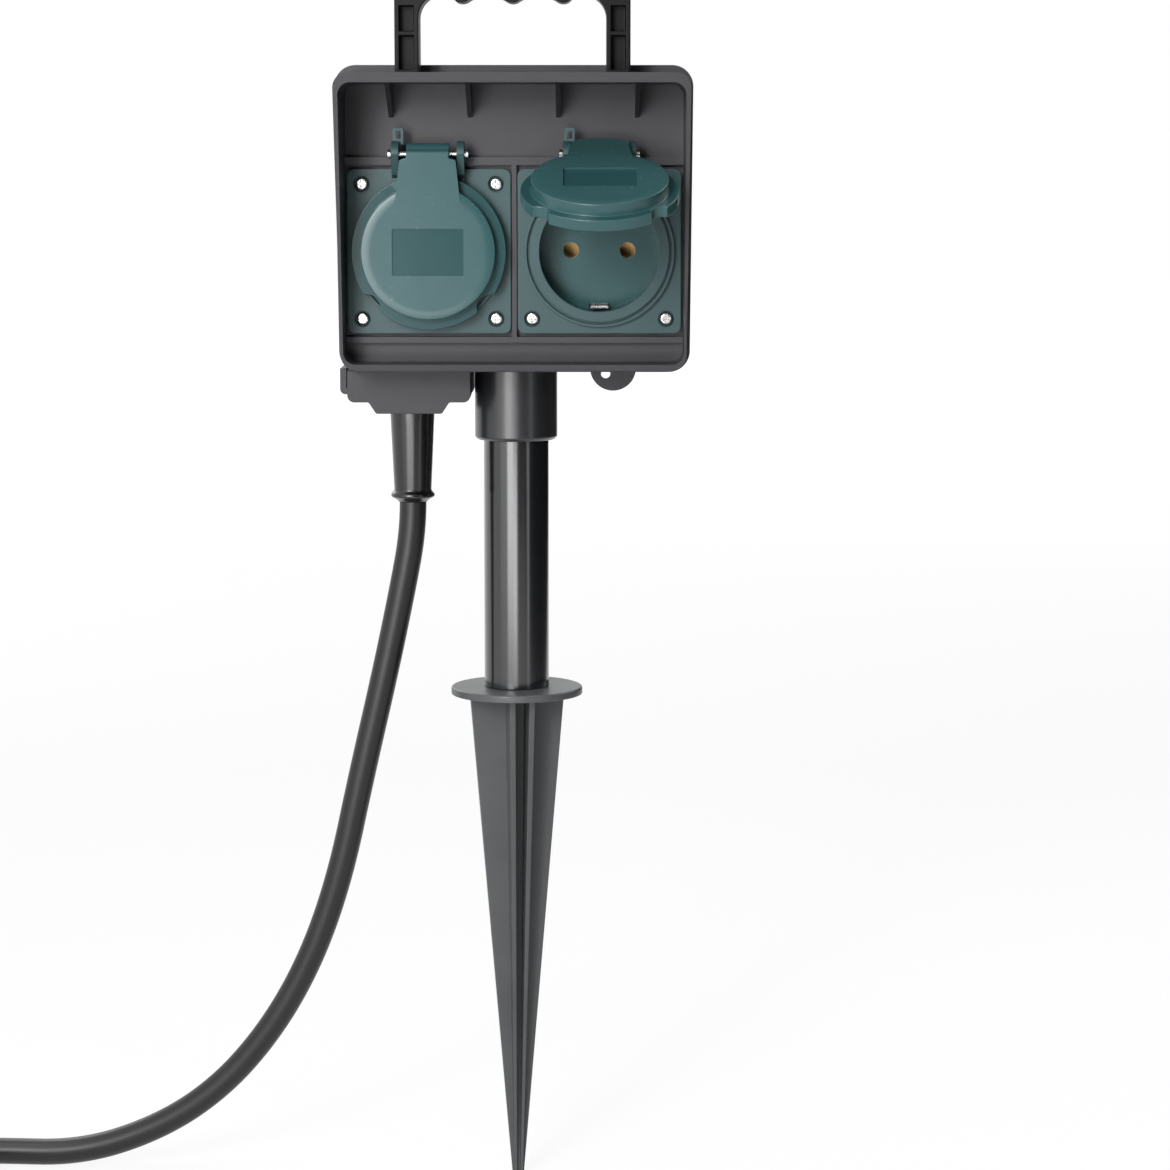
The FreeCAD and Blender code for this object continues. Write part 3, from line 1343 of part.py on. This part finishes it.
def coil_path():
    """The put-away coil: three half turns inward, a climbing half turn, and out again on top."""
    pitch, radius, width = mm("coil_pitch"), mm("coil_radius"), mm("cord_radius") * 2
    radii = [radius, radius - pitch / 2, radius - pitch, radius - 1.5 * pitch, radius - pitch, radius - pitch / 2]
    start = coil_start()
    edges = [Part.LineSegment(start + V(width, 0, 0), start).toShape()]
    here, along, toward = start, V(-1, 0, 0), -1
    for number, r in enumerate(radii):
        climb = pitch if number == 3 else 0
        across = V(0, toward * 2 * r, climb)
        edges.append(half_turn(here, across, along))
        here, along, toward = here + across, along * -1, -toward
    centre = here + V(0, -radius, 0)
    slant = radius * math.sqrt(0.5)
    end = centre + V(-radius, 0, 0)
    edges.append(Part.Arc(here, centre + V(-slant, slant, 0), end).toShape())
    edges.append(Part.LineSegment(end, end + V(0, -width, 0)).toShape())
    return Part.Wire(edges), end + V(0, -width, 0)


def least_gap(path, width, step=3.0):
    """Least gap between stretches of a path that are more than half a turn apart along it."""
    points, places, run = [], [], 0.0
    for edge in path.OrderedEdges:
        count = max(2, int(edge.Length / step))
        for point in edge.discretize(count):
            if points and (point - points[-1]).Length < 1e-6:
                continue
            run += (point - points[-1]).Length if points else 0.0
            points.append(point)
            places.append(run)
    apart = width * 4
    least = min((a - b).Length for i, a in enumerate(points) for j, b in enumerate(points[:i])
                if places[i] - places[j] > apart)
    return least - width


def make_cord():
    """The supply cord: its end in the boot, the free run, the put-away coil and the plug's tail."""
    radius = mm("cord_radius")
    foot = V(*CORD_ROUTE[0])
    shaped("cord_in_boot", rod(foot, V(foot.x, foot.y, mm("cord_core_up")), radius))
    run, radii = rounded_path([V(*p) for p in CORD_ROUTE])
    run_solid = tube(run, radius)
    shaped("supply_cord", run_solid)
    coil, coil_end = coil_path()
    coil_solid = tube(coil, radius)
    shaped("cord_coil", coil_solid)
    tail, tail_radii = rounded_path([coil_end + V(*p) for p in TAIL_ROUTE])
    tail_solid = tube(tail, radius)
    shaped("cord_tail", tail_solid)
    section = math.pi * radius * radius
    for name, path, solid in (("run", run, run_solid), ("coil", coil, coil_solid), ("tail", tail, tail_solid)):
        print(name, "length", round(path.Length, 1), "volume against section times length",
              round(solid.Volume / (section * path.Length), 4))
    print("run radii", [round(r, 1) for r in radii], "tail radii", [round(r, 1) for r in tail_radii])
    print("coil's least gap to itself", round(least_gap(coil, radius * 2), 2))
    print("cord length from the boot to the plug", round(run.Length + coil.Length + tail.Length, 1))


def plug_place():
    """Where the plug's tail end meets the cord."""
    return coil_path()[1] + V(*TAIL_ROUTE[-1])


def make_plug():
    """Straight rubber plug with two pins and two side earth strips, lying beside the coil."""
    place = plug_place()
    neck, body_end = size("plug_neck_length"), size("plug_neck_length") + size("plug_body_length")
    face, radius = body_end + size("plug_front_length"), size("plug_radius")
    body = new_body("plug_body", place.x, place.y, place.z)
    toward = FreeCAD.Rotation(V(0, 0, 1), 90)
    body.Placement.Rotation = toward
    turn(body, "XY_Plane", [
        (0, 0), (0, -face), (radius - 1.5, -face), (radius, -face + 1.5), (radius, -body_end),
        (radius * 0.78, -neck - 4), (size("plug_neck_radius") + 1, -neck), (size("plug_neck_radius") - 1, 0),
    ])
    recess, half = size("plug_recess_radius"), size("plug_recess_half")
    pocket(body, "XZ_Plane", face, size("plug_front_length"), [
        rectangle(-half, half, recess, radius + 1), rectangle(-half, half, -radius - 1, -recess),
    ])
    pins = new_body("plug_pins", place.x, place.y, place.z)
    pins.Placement.Rotation = toward
    pins.AllowCompound = True
    across = size("pin_hole_half")
    pad(pins, "XZ_Plane", face, size("plug_pin_length"),
        rings=[(a * across, 0, size("plug_pin_radius")) for a in (-1, 1)])
    fillet(pins, size("plug_pin_radius") * 0.6, lambda edge: edge.BoundBox.YMax < -face.number - 1)
    strips = new_body("plug_earth_strips", place.x, place.y, place.z)
    strips.Placement.Rotation = toward
    strips.AllowCompound = True
    strip_half, thick = size("plug_strip_half"), size("plug_strip_thick")
    length = size("plug_front_length") - 2
    pad(strips, "XZ_Plane", face - 1 - length, length, [
        rectangle(-strip_half, strip_half, recess, recess + thick),
        rectangle(-strip_half, strip_half, -recess - thick, -recess),
    ])


def make_cord_tie():
    """Flat tie round the coil's turns on its right side."""
    start, pitch, radius = coil_start(), size("coil_pitch"), size("coil_radius")
    body = new_body("cord_tie", start.x, start.y - (radius.number + pitch.number / 2), start.z)
    cord, gap, side, thick = size("cord_radius"), size("tie_gap"), size("tie_side_gap"), size("tie_thick")
    left, right = radius - pitch * 1.5 - cord - side, radius - pitch / 2 + cord + side
    low, high = -cord - gap, pitch + cord + gap
    round_in = cord
    outer = rounded(left - thick, right + thick, low - thick, high + thick, round_in + thick)
    inner = rounded(left, right, low, high, round_in)
    pad(body, "XZ_Plane", -size("tie_width") / 2, size("tie_width"), [outer, inner])


make_ground_spike()
make_pole()
make_pole_collar()
make_rear_shell()
make_housing_seal()
make_front_frame()
make_carry_handle()
make_housing_screws()
make_cable_entry_cover()
make_cable_entry_back()
make_cover_screws()
make_cord_boot()
make_cord_clamp()
make_clamp_screws()
make_terminal_block()
make_block_screws()
for number, name in enumerate(("neutral_lead", "earth_lead", "live_lead")):
    make_inner_lead(name, number)
for side_name, side, angle in (("left", -1, None), ("right", 1, "open_angle")):
    make_flange_gasket(side_name, side)
    make_socket_flange(side_name, side)
    make_well_insert(side_name, side)
    make_contact_carrier(side_name, side)
    make_earth_clip(side_name, side)
    make_contacts(side_name, side)
    make_terminal_screws(side_name, side)
    make_flange_screws(side_name, side)
    make_hinge_pin(side_name, side)
    make_lid(side_name, side, angle)
    make_lid_seal(side_name, side, angle)
    make_lid_spring(side_name, side)
make_cord()
make_plug()
make_cord_tie()
doc.recompute()

for item in doc.Objects:
    if "Invalid" in item.State or "Error" in item.State:
        raise RuntimeError(f"{item.Label} failed: {item.State}")
sub_parts = [item for item in doc.Objects if item.TypeId == "PartDesign::Body"]
sub_parts += [item for item in doc.Objects if item.TypeId == "Part::Feature"]
for item in sub_parts:
    if item.Shape.isNull() or not item.Shape.isValid():
        raise RuntimeError(f"{item.Label} has no valid shape")
os.makedirs("parts", exist_ok=True)
for item in sub_parts:
    item.Shape.exportStep(f"parts/{item.Label}.step")
    box = item.Shape.BoundBox
    print(f"{item.Label:22s} solids {len(item.Shape.Solids)} volume {item.Shape.Volume:9.1f} "
          f"x {box.XMin:7.1f} {box.XMax:7.1f} y {box.YMin:7.1f} {box.YMax:7.1f} z {box.ZMin:7.1f} {box.ZMax:7.1f}")
print(len(sub_parts), "sub-parts written")
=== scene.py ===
import math
import bmesh
import bpy
from mathutils import Matrix, Vector


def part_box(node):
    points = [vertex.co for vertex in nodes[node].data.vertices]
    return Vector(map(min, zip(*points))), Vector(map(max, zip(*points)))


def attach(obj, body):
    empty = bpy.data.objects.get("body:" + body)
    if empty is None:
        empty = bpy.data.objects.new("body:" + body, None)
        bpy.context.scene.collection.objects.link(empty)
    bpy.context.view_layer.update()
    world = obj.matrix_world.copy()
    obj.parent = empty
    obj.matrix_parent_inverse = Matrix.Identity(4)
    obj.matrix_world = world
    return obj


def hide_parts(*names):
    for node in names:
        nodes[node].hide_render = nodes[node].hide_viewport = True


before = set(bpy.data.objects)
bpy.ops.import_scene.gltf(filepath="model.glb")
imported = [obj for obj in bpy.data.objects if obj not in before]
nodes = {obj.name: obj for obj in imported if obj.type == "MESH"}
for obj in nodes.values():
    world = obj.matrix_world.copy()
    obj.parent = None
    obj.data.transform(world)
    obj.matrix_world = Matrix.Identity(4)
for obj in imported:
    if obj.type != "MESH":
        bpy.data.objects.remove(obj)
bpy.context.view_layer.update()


# Ground spike: black nylon, moulded in one with the disc that stops it at the ground and the stub
# that goes up into the pole. Matt from the mould, with smoother and duller patches all over.
class Tone:
    """A socket of a material's nodes; sums on it add the Math nodes that work them out."""

    def __init__(self, tree, socket=None):
        self.tree = tree
        self.socket = socket

    def add(self, kind, settings=None, sockets=None, out=0):
        """Adds one node with its settings, then the values or links of its sockets."""
        made = self.tree.nodes.new("ShaderNode" + kind)
        for name, value in (settings or {}).items():
            setattr(made, name, value)
        for name, value in (sockets or {}).items():
            if isinstance(value, Tone):
                self.tree.links.new(value.socket, made.inputs[name])
            else:
                made.inputs[name].default_value = value
        return Tone(self.tree, made.outputs[out]) if made.outputs else None

    def maths(self, operation, *values):
        return self.add("Math", {"operation": operation}, dict(enumerate(values)))

    def __add__(self, other):
        return self.maths("ADD", self, other)

    def __sub__(self, other):
        return self.maths("SUBTRACT", self, other)

    def __mul__(self, other):
        return self.maths("MULTIPLY", self, other)

    def __radd__(self, other):
        return self.maths("ADD", other, self)

    def __rsub__(self, other):
        return self.maths("SUBTRACT", other, self)

    def __rmul__(self, other):
        return self.maths("MULTIPLY", other, self)

    def between(self, low, high):
        """0 below low, 1 above high, and a straight climb between them."""
        return self.add("MapRange", {"clamp": True}, {"Value": self, "From Min": low, "From Max": high})

    def colour(self, dark, light):
        """The dark colour at 0, the light one at 1 and their mixes between."""
        return self.add("Mix", {"data_type": "RGBA"}, {0: self, 6: (*dark, 1), 7: (*light, 1)}, 2)


def new_material(name):
    material = bpy.data.materials.new(name)
    material.use_nodes = True
    tree = material.node_tree
    tree.nodes.clear()
    return material, Tone(tree)


def moulded(name, dark, light, rough, grain=0.35, coat=0.0, gloss=0.5):
    """Moulded plastic: cloudy colour, a sparked grain from the mould, and smoother and duller patches."""
    material, tone = new_material(name)
    place = tone.add("TexCoord", out=3)
    cloud = tone.add("TexNoise", sockets={"Vector": place, "Scale": 22.0, "Detail": 5.0, "Roughness": 0.6})
    fine = tone.add("TexNoise", sockets={"Vector": place, "Scale": 1700.0, "Detail": 2.0})
    rubs = tone.add("TexNoise", sockets={"Vector": place, "Scale": 240.0, "Detail": 6.0, "Roughness": 0.7})
    colour = cloud.between(0.3, 0.7).colour(dark, light)
    roughness = ((cloud - 0.5) * 0.2 + (rubs - 0.5) * 0.26 + (fine - 0.5) * 0.12 + 1.0) * rough
    bump = tone.add("Bump", {}, {"Strength": grain, "Distance": 0.00006, "Height": fine + rubs * 0.6})
    surface = tone.add("BsdfPrincipled", {}, {
        "Base Color": colour, "Roughness": roughness, "Normal": bump, "Coat Weight": coat,
        "Coat Roughness": rough * 0.7, "Specular IOR Level": gloss,
    })
    tone.add("OutputMaterial", {}, {"Surface": surface})
    return material


def dress(material, *names):
    """Gives a CAD node its finish."""
    for name in names:
        nodes[name].data.materials.clear()
        nodes[name].data.materials.append(material)


def has_room(edge, sharp, width):
    """Whether the edges that meet this one leave room to round it over by that width."""
    narrow_corner, square_corner = 35, 100  # degrees
    short_flat, short_sharp = width * 1.1, width * 2.2
    for corner in edge.verts:
        for other in corner.link_edges:
            if other is edge:
                continue
            along, away = edge.other_vert(corner).co - corner.co, other.other_vert(corner).co - corner.co
            turn, length = math.degrees(along.angle(away, math.pi)), away.length
            if turn < narrow_corner or (other not in sharp and length < short_flat):
                return False
            if other in sharp and turn < square_corner and length < short_sharp:
                return False
    return True


def softened(name, width, material, body, crowded=False, held=False):
    """A moulding with its sharp edges rounded over by a width, as they leave the mould.

    Where they are crowded, only those with room are. Held ones are only as far as the nearest edge lets all.
    """
    merged, flat, sharp_from, shaded_from = 0.000002, math.radians(0.6), math.radians(32), math.radians(40)
    source = nodes[name]
    mesh = source.data.copy()
    mesh.name = name + "_moulded"
    shape = bmesh.new()
    shape.from_mesh(mesh)
    bmesh.ops.remove_doubles(shape, verts=shape.verts, dist=merged)
    bmesh.ops.dissolve_limit(shape, angle_limit=flat, verts=shape.verts, edges=shape.edges)
    sharp = [e for e in shape.edges if len(e.link_faces) == 2 and e.calc_face_angle(0) > sharp_from]
    if crowded:
        known = set(sharp)
        sharp = [e for e in sharp if has_room(e, known, width)]
    bmesh.ops.bevel(shape, geom=sharp, offset=width, offset_type="OFFSET", affect="EDGES", segments=3,
                    profile=0.5, material=-1, clamp_overlap=held)
    for face in shape.faces:
        face.smooth = True
    for edge in shape.edges:
        edge.smooth = len(edge.link_faces) != 2 or edge.calc_face_angle(0) < shaded_from
    shape.to_mesh(mesh)
    shape.free()
    piece = bpy.data.objects.new(name + "_moulded", mesh)
    bpy.context.scene.collection.objects.link(piece)
    mesh.materials.clear()
    mesh.materials.append(material)
    even = piece.modifiers.new("even_shading", "WEIGHTED_NORMAL")
    even.keep_sharp = True
    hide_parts(name)
    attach(piece, body)
    return piece


# The spike's nylon is coloured a lighter grey than the other black parts: part of that grey is painted sheen.
black_nylon_painted_sheen = moulded("black_nylon_painted_sheen", (0.070, 0.074, 0.077), (0.095, 0.100, 0.103), 0.38, grain=0.12,
                      coat=0.1, gloss=0.4)
softened("ground_spike", 0.0002, black_nylon_painted_sheen, "spike", crowded=True)


# Pole: a round tube, extruded in black plastic that comes out glossy and almost without grain.
# It is pushed over the spike's stub below and into the collar above.
pole_black = moulded("pole_black", (0.007, 0.0077, 0.0092), (0.010, 0.0108, 0.0125), 0.21, grain=0.01,
                     coat=0.9)
softened("pole_tube", 0.0003, pole_black, "head")


# Collar: satin black moulding that carries the housing on the pole. The pole's end is pushed into it from
# below, and its flange sits inside the housing.
collar_black = moulded("collar_black", (0.012, 0.0125, 0.0145), (0.016, 0.0168, 0.019), 0.33, grain=0.015,
                       coat=0.5)
softened("pole_collar", 0.0003, collar_black, "head")


# Housing: anthracite polypropylene in two halves, the hooded front frame and the deep rear shell that
# laps round it, with a soft seal between them and four bright screws from behind.
anthracite = moulded("anthracite", (0.034, 0.0335, 0.0388), (0.044, 0.0433, 0.0497), 0.45, grain=0.25,
                     gloss=0.4)
softened("front_frame", 0.0005, anthracite, "head", held=True)
softened("rear_shell", 0.00025, anthracite, "head", crowded=True)


def sealing_rubber(name, colour, rough, coat=0.0):
    """Soft black rubber with a dusty bloom."""
    material, tone = new_material(name)
    place = tone.add("TexCoord", out=3)
    bloom = tone.add("TexNoise", sockets={"Vector": place, "Scale": 160.0, "Detail": 6.0, "Roughness": 0.7})
    fine = tone.add("TexNoise", sockets={"Vector": place, "Scale": 2600.0, "Detail": 2.0})
    bloomed = tuple(c * 1.7 for c in colour)
    mixed = bloom.between(0.35, 0.75).colour(colour, bloomed)
    bump = tone.add("Bump", {}, {"Strength": 0.12, "Distance": 0.00003, "Height": fine + bloom})
    surface = tone.add("BsdfPrincipled", {}, {
        "Base Color": mixed, "Roughness": ((bloom - 0.5) * 0.25 + 1.0) * rough, "Normal": bump,
        "Coat Weight": coat, "Coat Roughness": 0.2,
    })
    tone.add("OutputMaterial", {}, {"Surface": surface})
    return material


seal_black = sealing_rubber("seal_black", (0.0080, 0.0080, 0.0088), 0.55)
dress(seal_black, "housing_seal")


def plated(name, colour, rough, streak):
    """Plated or plain metal with fine tool marks and a soft uneven shine."""
    material, tone = new_material(name)
    place = tone.add("TexCoord", out=3)
    stretched = tone.add("Mapping", {}, {"Vector": place, "Scale": streak})
    marks = tone.add("TexNoise", sockets={"Vector": stretched, "Scale": 900.0, "Detail": 4.0})
    cloud = tone.add("TexNoise", sockets={"Vector": place, "Scale": 130.0, "Detail": 3.0})
    dark = tuple(c * 0.82 for c in colour)
    mixed = cloud.between(0.3, 0.7).colour(dark, colour)
    bump = tone.add("Bump", {}, {"Strength": 0.25, "Distance": 0.00003, "Height": marks})
    surface = tone.add("BsdfPrincipled", {}, {
        "Base Color": mixed, "Metallic": 1.0, "Normal": bump,
        "Roughness": rough + (marks - 0.5) * 0.15 + (cloud - 0.5) * 0.1,
    })
    tone.add("OutputMaterial", {}, {"Surface": surface})
    return material


bright_plate = plated("bright_plate", (0.70, 0.70, 0.69), 0.26, (1, 1, 1))
dress(bright_plate, "housing_screws", "cover_screws", "clamp_screws", "block_screws")


# Carry handle: black nylon moulding, its posts channelled in front to save material and its grip with
# hollows for the fingers. It is pegged into the roof of the housing.
handle_black = moulded("handle_black", (0.0032, 0.0034, 0.0042), (0.0048, 0.0050, 0.0060), 0.42, grain=0.12,
                       gloss=0.15)
softened("carry_handle", 0.00036, handle_black, "head")


# Cable entry: a stepped box in two halves under the housing, of the housing's plastic, closed by two screws
# from behind. The clamp that holds the cord and the terminal block are plain black mouldings.
# The cable entry is coloured darker than the housing's plastic: the difference is painted shade.
entry_grey_painted_shade = moulded("entry_grey_painted_shade", (0.0285, 0.0280, 0.0325), (0.0365, 0.0360, 0.0412), 0.47, grain=0.25,
                     gloss=0.4)
softened("cable_entry_cover", 0.0002, entry_grey_painted_shade, "head", crowded=True)
softened("cable_entry_back", 0.0002, entry_grey_painted_shade, "head", crowded=True)
dress(handle_black, "cord_clamp", "terminal_block")


# Boot: soft rubber sleeve, tapered and with a bead at its foot, moulded over the cord's end. It is held in
# the cable entry and keeps the cord from kinking.
boot_rubber = sealing_rubber("boot_rubber", (0.0025, 0.0027, 0.0034), 0.24, coat=0.4)
softened("cord_boot", 0.0003, boot_rubber, "head")


# Supply cord: three-core rubber sheath, 9.1 mm thick and 1.4 m long. It hangs from the boot and runs along
# the ground; the rest is put away as a coil of two layers under a flat tie, with the plug beside it.
cord_radius = 0.00455
coil_across, coil_depth, coil_up = -0.236, 0.010, -0.16535
turn_radius, turn_pitch = 0.0523, 0.0097
half_turn_points = 6
route = [
    (-0.0350, -0.0050, 0.0667), (-0.0350, -0.0050, 0.0570), (-0.0387, -0.0048, 0.0370),
    (-0.0449, -0.0042, 0.0080), (-0.0534, -0.0032, -0.0280), (-0.0612, -0.0020, -0.0640),
    (-0.0718, -0.0006, -0.0940), (-0.0860, 0.0010, -0.1192), (-0.1040, 0.0028, -0.1403),
    (-0.1260, 0.0048, -0.1555), (-0.1540, 0.0068, coil_up), (-0.1840, 0.0092, coil_up),
    (-0.2130, coil_depth, coil_up),
]
last_turn, climbing_turn = 6, 3
half_turns = [turn_radius - turn_pitch * inward for inward in (0, 0.5, 1, 1.5, 1, 0.5, 0)]
middle, up, out_again = coil_depth - turn_radius, coil_up, 1.0 / math.cos(math.radians(90 / half_turn_points))
for number, radius in enumerate(half_turns):
    points = half_turn_points if number < last_turn else half_turn_points // 2
    for step in range(points):
        share = (step + 0.5) / half_turn_points
        turned = math.radians(90 + 180 * (number + share))
        climb = turn_pitch * share if number == climbing_turn else 0.0
        route.append((
            coil_across + radius * out_again * math.cos(turned),
            middle + radius * out_again * math.sin(turned),
            up + climb,
        ))
    if number == climbing_turn:
        up += turn_pitch
    if number < last_turn:
        side = -1 if number % 2 == 0 else 1
        middle += side * (radius - half_turns[number + 1])
tail_start = Vector((coil_across - turn_radius, middle, up))
tail_steps = ((0, -0.0341, 0), (0.0130, -0.0566, -0.0010), (0.0355, -0.0696, 0.00365),
              (0.0625, -0.0696, 0.00365))
for step in tail_steps:
    route.append(tuple(tail_start + Vector(step)))

line = bpy.data.curves.new("supply_cord_line", "CURVE")
line.dimensions = "3D"
line.resolution_u = 10
line.bevel_depth = cord_radius
line.bevel_resolution = 6
line.use_fill_caps = True
spline = line.splines.new("NURBS")
spline.points.add(len(route) - 1)
for point, place in zip(spline.points, route):
    point.co = (*place, 1)
spline.use_endpoint_u = True
spline.order_u = 3
cord = bpy.data.objects.new("supply_cord_sheath", line)
bpy.context.scene.collection.objects.link(cord)
sheath_rubber = sealing_rubber("sheath_rubber", (0.0045, 0.0047, 0.0056), 0.40)
line.materials.append(sheath_rubber)
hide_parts("supply_cord", "cord_coil", "cord_tail")
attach(cord, "head")
dress(sheath_rubber, "cord_in_boot")
softened("cord_tie", 0.0002, seal_black, "head")
plug_rubber = sealing_rubber("plug_rubber", (0.0100, 0.0102, 0.0115), 0.36)
softened("plug_body", 0.0006, plug_rubber, "head", held=True)
dress(bright_plate, "plug_pins", "plug_earth_strips")


# Sockets: petrol-green polyamide flanges with hinge ears and a loop tab, each screwed to the housing over a
# black gasket. The wells are of the same plastic, a little smoother, and pushed into them from behind.
# The flanges are coloured darker and greyer than the wells: the difference is painted shade from the lids.
flange_petrol_painted_shade = moulded("flange_petrol_painted_shade", (0.030, 0.072, 0.077), (0.038, 0.086, 0.092), 0.40, grain=0.1,
                        gloss=0.4)
petrol = moulded("petrol", (0.033, 0.095, 0.101), (0.040, 0.110, 0.116), 0.26, grain=0.06, coat=0.1,
                 gloss=0.38)
for side_name in ("left", "right"):
    softened(f"socket_flange_{side_name}", 0.00015, flange_petrol_painted_shade, "head", crowded=True)
    dress(petrol, f"well_insert_{side_name}")
    dress(seal_black, f"flange_gasket_{side_name}")


# Inside the sockets: dark carriers with brass contacts, sprung earth clips and terminal screws. The flange
# screws, the hinge pins and the springs round them are of plated steel, as the clips are.
carrier_black = moulded("carrier_black", (0.014, 0.0145, 0.016), (0.020, 0.0208, 0.023), 0.45, grain=0.2)
contact_metal = plated("contact_metal", (0.30, 0.21, 0.09), 0.32, (1, 1, 4))
for side_name in ("left", "right"):
    dress(carrier_black, f"contact_carrier_{side_name}")
    dress(contact_metal, f"contacts_{side_name}")
    for steel_piece in ("earth_clip", "terminal_screws", "flange_screws", "hinge_pin", "lid_spring"):
        dress(bright_plate, f"{steel_piece}_{side_name}")


# Lids: petrol green like the wells, with a stepped disc, a hinge arm and two grip notches, and a black seal
# inside. The field for a label is polished in the mould, so it is smoother; its darker colour is painted
# shade, and it is bare.
polished_and_shaded = moulded("polished_petrol_painted_shade", (0.021, 0.074, 0.079), (0.026, 0.083, 0.088), 0.16, grain=0.03)
hinge_depth, hinge_up = -0.028, 0.1836
field_up, field_half_width, field_half_height, field_floor = 0.1516, 0.0114, 0.0074, 0.0004
lid_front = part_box("lid_left")[0][1]
for side_name, across, opened in (("left", -0.02815, 0), ("right", 0.02815, 68)):
    lid = softened(f"lid_{side_name}", 0.0003, petrol, f"{side_name}_lid", crowded=True)
    lid.data.materials.append(polished_and_shaded)
    dress(seal_black, f"lid_seal_{side_name}")
    pin = Vector((across, hinge_depth, hinge_up))
    shut = Matrix.Rotation(math.radians(opened), 3, "X")
    # Faces of the label field's recessed floor get the smoother material, whose darker colour is painted
    # shade.
    for face in lid.data.polygons:
        centre = shut @ (Vector(face.center) - pin) + pin
        straight = shut @ Vector(face.normal)
        beside = abs(centre.x - across) < field_half_width and abs(centre.z - field_up) < field_half_height
        if beside and straight.y < -0.99 and centre.y > lid_front + field_floor:
            face.material_index = 1


# Inner wiring: the cord's three cores in soft plastic sleeves, each in its own colour. They go from the
# terminal block to the sockets.
for lead_name, colour in (
    ("live_lead", (0.10, 0.035, 0.015)),
    ("neutral_lead", (0.015, 0.07, 0.32)),
    ("earth_lead", (0.30, 0.42, 0.03)),
):
    sleeve = moulded(lead_name + "_sleeve", colour, tuple(c * 1.25 for c in colour), 0.38, grain=0.1)
    dress(sleeve, lead_name)


# Studio: white ground and background, with a large soft lamp at the upper left and weaker ones round it.
# The ground lies just under the cord, at the height of the spike's point.
def flat_panel(name, corners):
    """One flat four-cornered sheet."""
    mesh = bpy.data.meshes.new(name)
    shape = bmesh.new()
    shape.faces.new([shape.verts.new(corner) for corner in corners])
    shape.to_mesh(mesh)
    shape.free()
    piece = bpy.data.objects.new(name, mesh)
    bpy.context.scene.collection.objects.link(piece)
    return piece


def looked_at(tone):
    """1 to the camera, in a gloss and through glass, and 0 to the light that falls on the object."""
    to_camera, to_gloss, to_glass = (tone.add("LightPath", out=number) for number in (0, 3, 6))
    return tone.maths("MINIMUM", to_camera + to_gloss + to_glass, 1.0)


ground_up = -0.1712
ground_corners = [(across, deep, ground_up) for across, deep in ((-6, -4), (6, -4), (6, 8), (-6, 8))]
ground = flat_panel("ground", ground_corners)
white, tone = new_material("white_ground")
seen = looked_at(tone)
plain = tone.add("BsdfDiffuse", {}, {"Color": (0.8, 0.8, 0.8, 1)})
dull = tone.add("BsdfDiffuse", {}, {"Color": (0.4, 0.4, 0.4, 1)})
distance = tone.add("VectorMath", {"operation": "LENGTH"}, {0: tone.add("TexCoord", out=3)}, 1)
near_white, more_when_far, bright_share = 1.1, 0.22, 0.8
glow = near_white + distance.between(0.8, 3.0) * more_when_far
bright = tone.add("Emission", {}, {"Color": (1, 1, 1, 1), "Strength": glow})
pale = tone.add("MixShader", {}, {0: bright_share, 1: plain, 2: bright})
shade = tone.add("MixShader", {}, {0: seen, 1: dull, 2: pale})
tone.add("OutputMaterial", {}, {"Surface": shade})
ground.data.materials.append(white)

world = bpy.data.worlds.new("studio")
world.use_nodes = True
world.node_tree.nodes.clear()
tone = Tone(world.node_tree)
room = tone.add("Background", {}, {"Color": (0.97, 0.98, 1, 1), "Strength": 0.07})
backdrop = tone.add("Background", {}, {"Color": (1, 1, 1, 1), "Strength": 1.0})
mixed = tone.add("MixShader", {}, {0: looked_at(tone), 1: room, 2: backdrop})
tone.add("OutputWorld", {}, {"Surface": mixed})
bpy.context.scene.world = world

# Two flags of black felt, out of the picture, keep the white room out of the right side of the glossy tubes.
felt, tone = new_material("black_felt")
tone.add("OutputMaterial", {}, {"Surface": tone.add("BsdfDiffuse", {}, {"Color": (0.01, 0.01, 0.01, 1)})})
flag_foot, flag_top, flag_corner = -0.171, 1.4, (0.85, -1.75)
for name, start, end in (
    ("flag_right", (0.85, 2.2), flag_corner),
    ("flag_front", flag_corner, (-0.12, -1.75)),
):
    flag = flat_panel(name, [(*start, flag_foot), (*end, flag_foot), (*end, flag_top), (*start, flag_top)])
    flag.data.materials.append(felt)
    flag.visible_camera = False

for name, place, aim, size_x, size_y, power in (
    ("lamp_front_left", (-0.455, -1.218, 0.30), (0, 0, 0.05), 0.50, 1.3, 14.0),
    ("lamp_sharp", (-0.44, -1.17, 0.50), (0, 0, 0.15), 0.15, 0.30, 4.5),
    ("lamp_left", (-0.93, -0.93, 0.10), (0, 0, 0.05), 0.50, 1.7, 2.0),
    ("lamp_front_low", (-0.065, -1.25, -0.095), (0, 0, 0.05), 0.30, 0.14, 1.1),
    ("lamp_front_right", (0.74, -0.80, 0.15), (0, 0, 0.05), 0.14, 1.5, 1.3),
    ("lamp_right", (0.80, 0.25, 0.50), (0, 0, 0.15), 0.7, 0.8, 4.0),
    ("lamp_top", (-0.3, -0.4, 1.4), (0, 0, 0.1), 1.0, 0.8, 6.0),
    ("lamp_behind", (-0.7, 1.3, 0.9), (0, 0, 0.1), 0.8, 0.8, 5.0),
):
    lamp = bpy.data.lights.new(name, "AREA")
    lamp.shape = "RECTANGLE"
    lamp.size, lamp.size_y, lamp.energy = size_x, size_y, power
    holder = bpy.data.objects.new(name, lamp)
    bpy.context.scene.collection.objects.link(holder)
    holder.location = place
    holder.rotation_euler = (Vector(aim) - Vector(place)).to_track_quat("-Z", "Y").to_euler()

lens = bpy.data.cameras.new("photo_view")
lens.sensor_width = 36
lens.lens = 101.385
camera = bpy.data.objects.new("photo_view", lens)
bpy.context.scene.collection.objects.link(camera)
camera.location = (0.0234, -1.11835, 0.18453)
camera.rotation_euler = (math.radians(82.5), 0, 0)
bpy.context.scene.camera = camera
bpy.context.scene.view_settings.view_transform = "Standard"
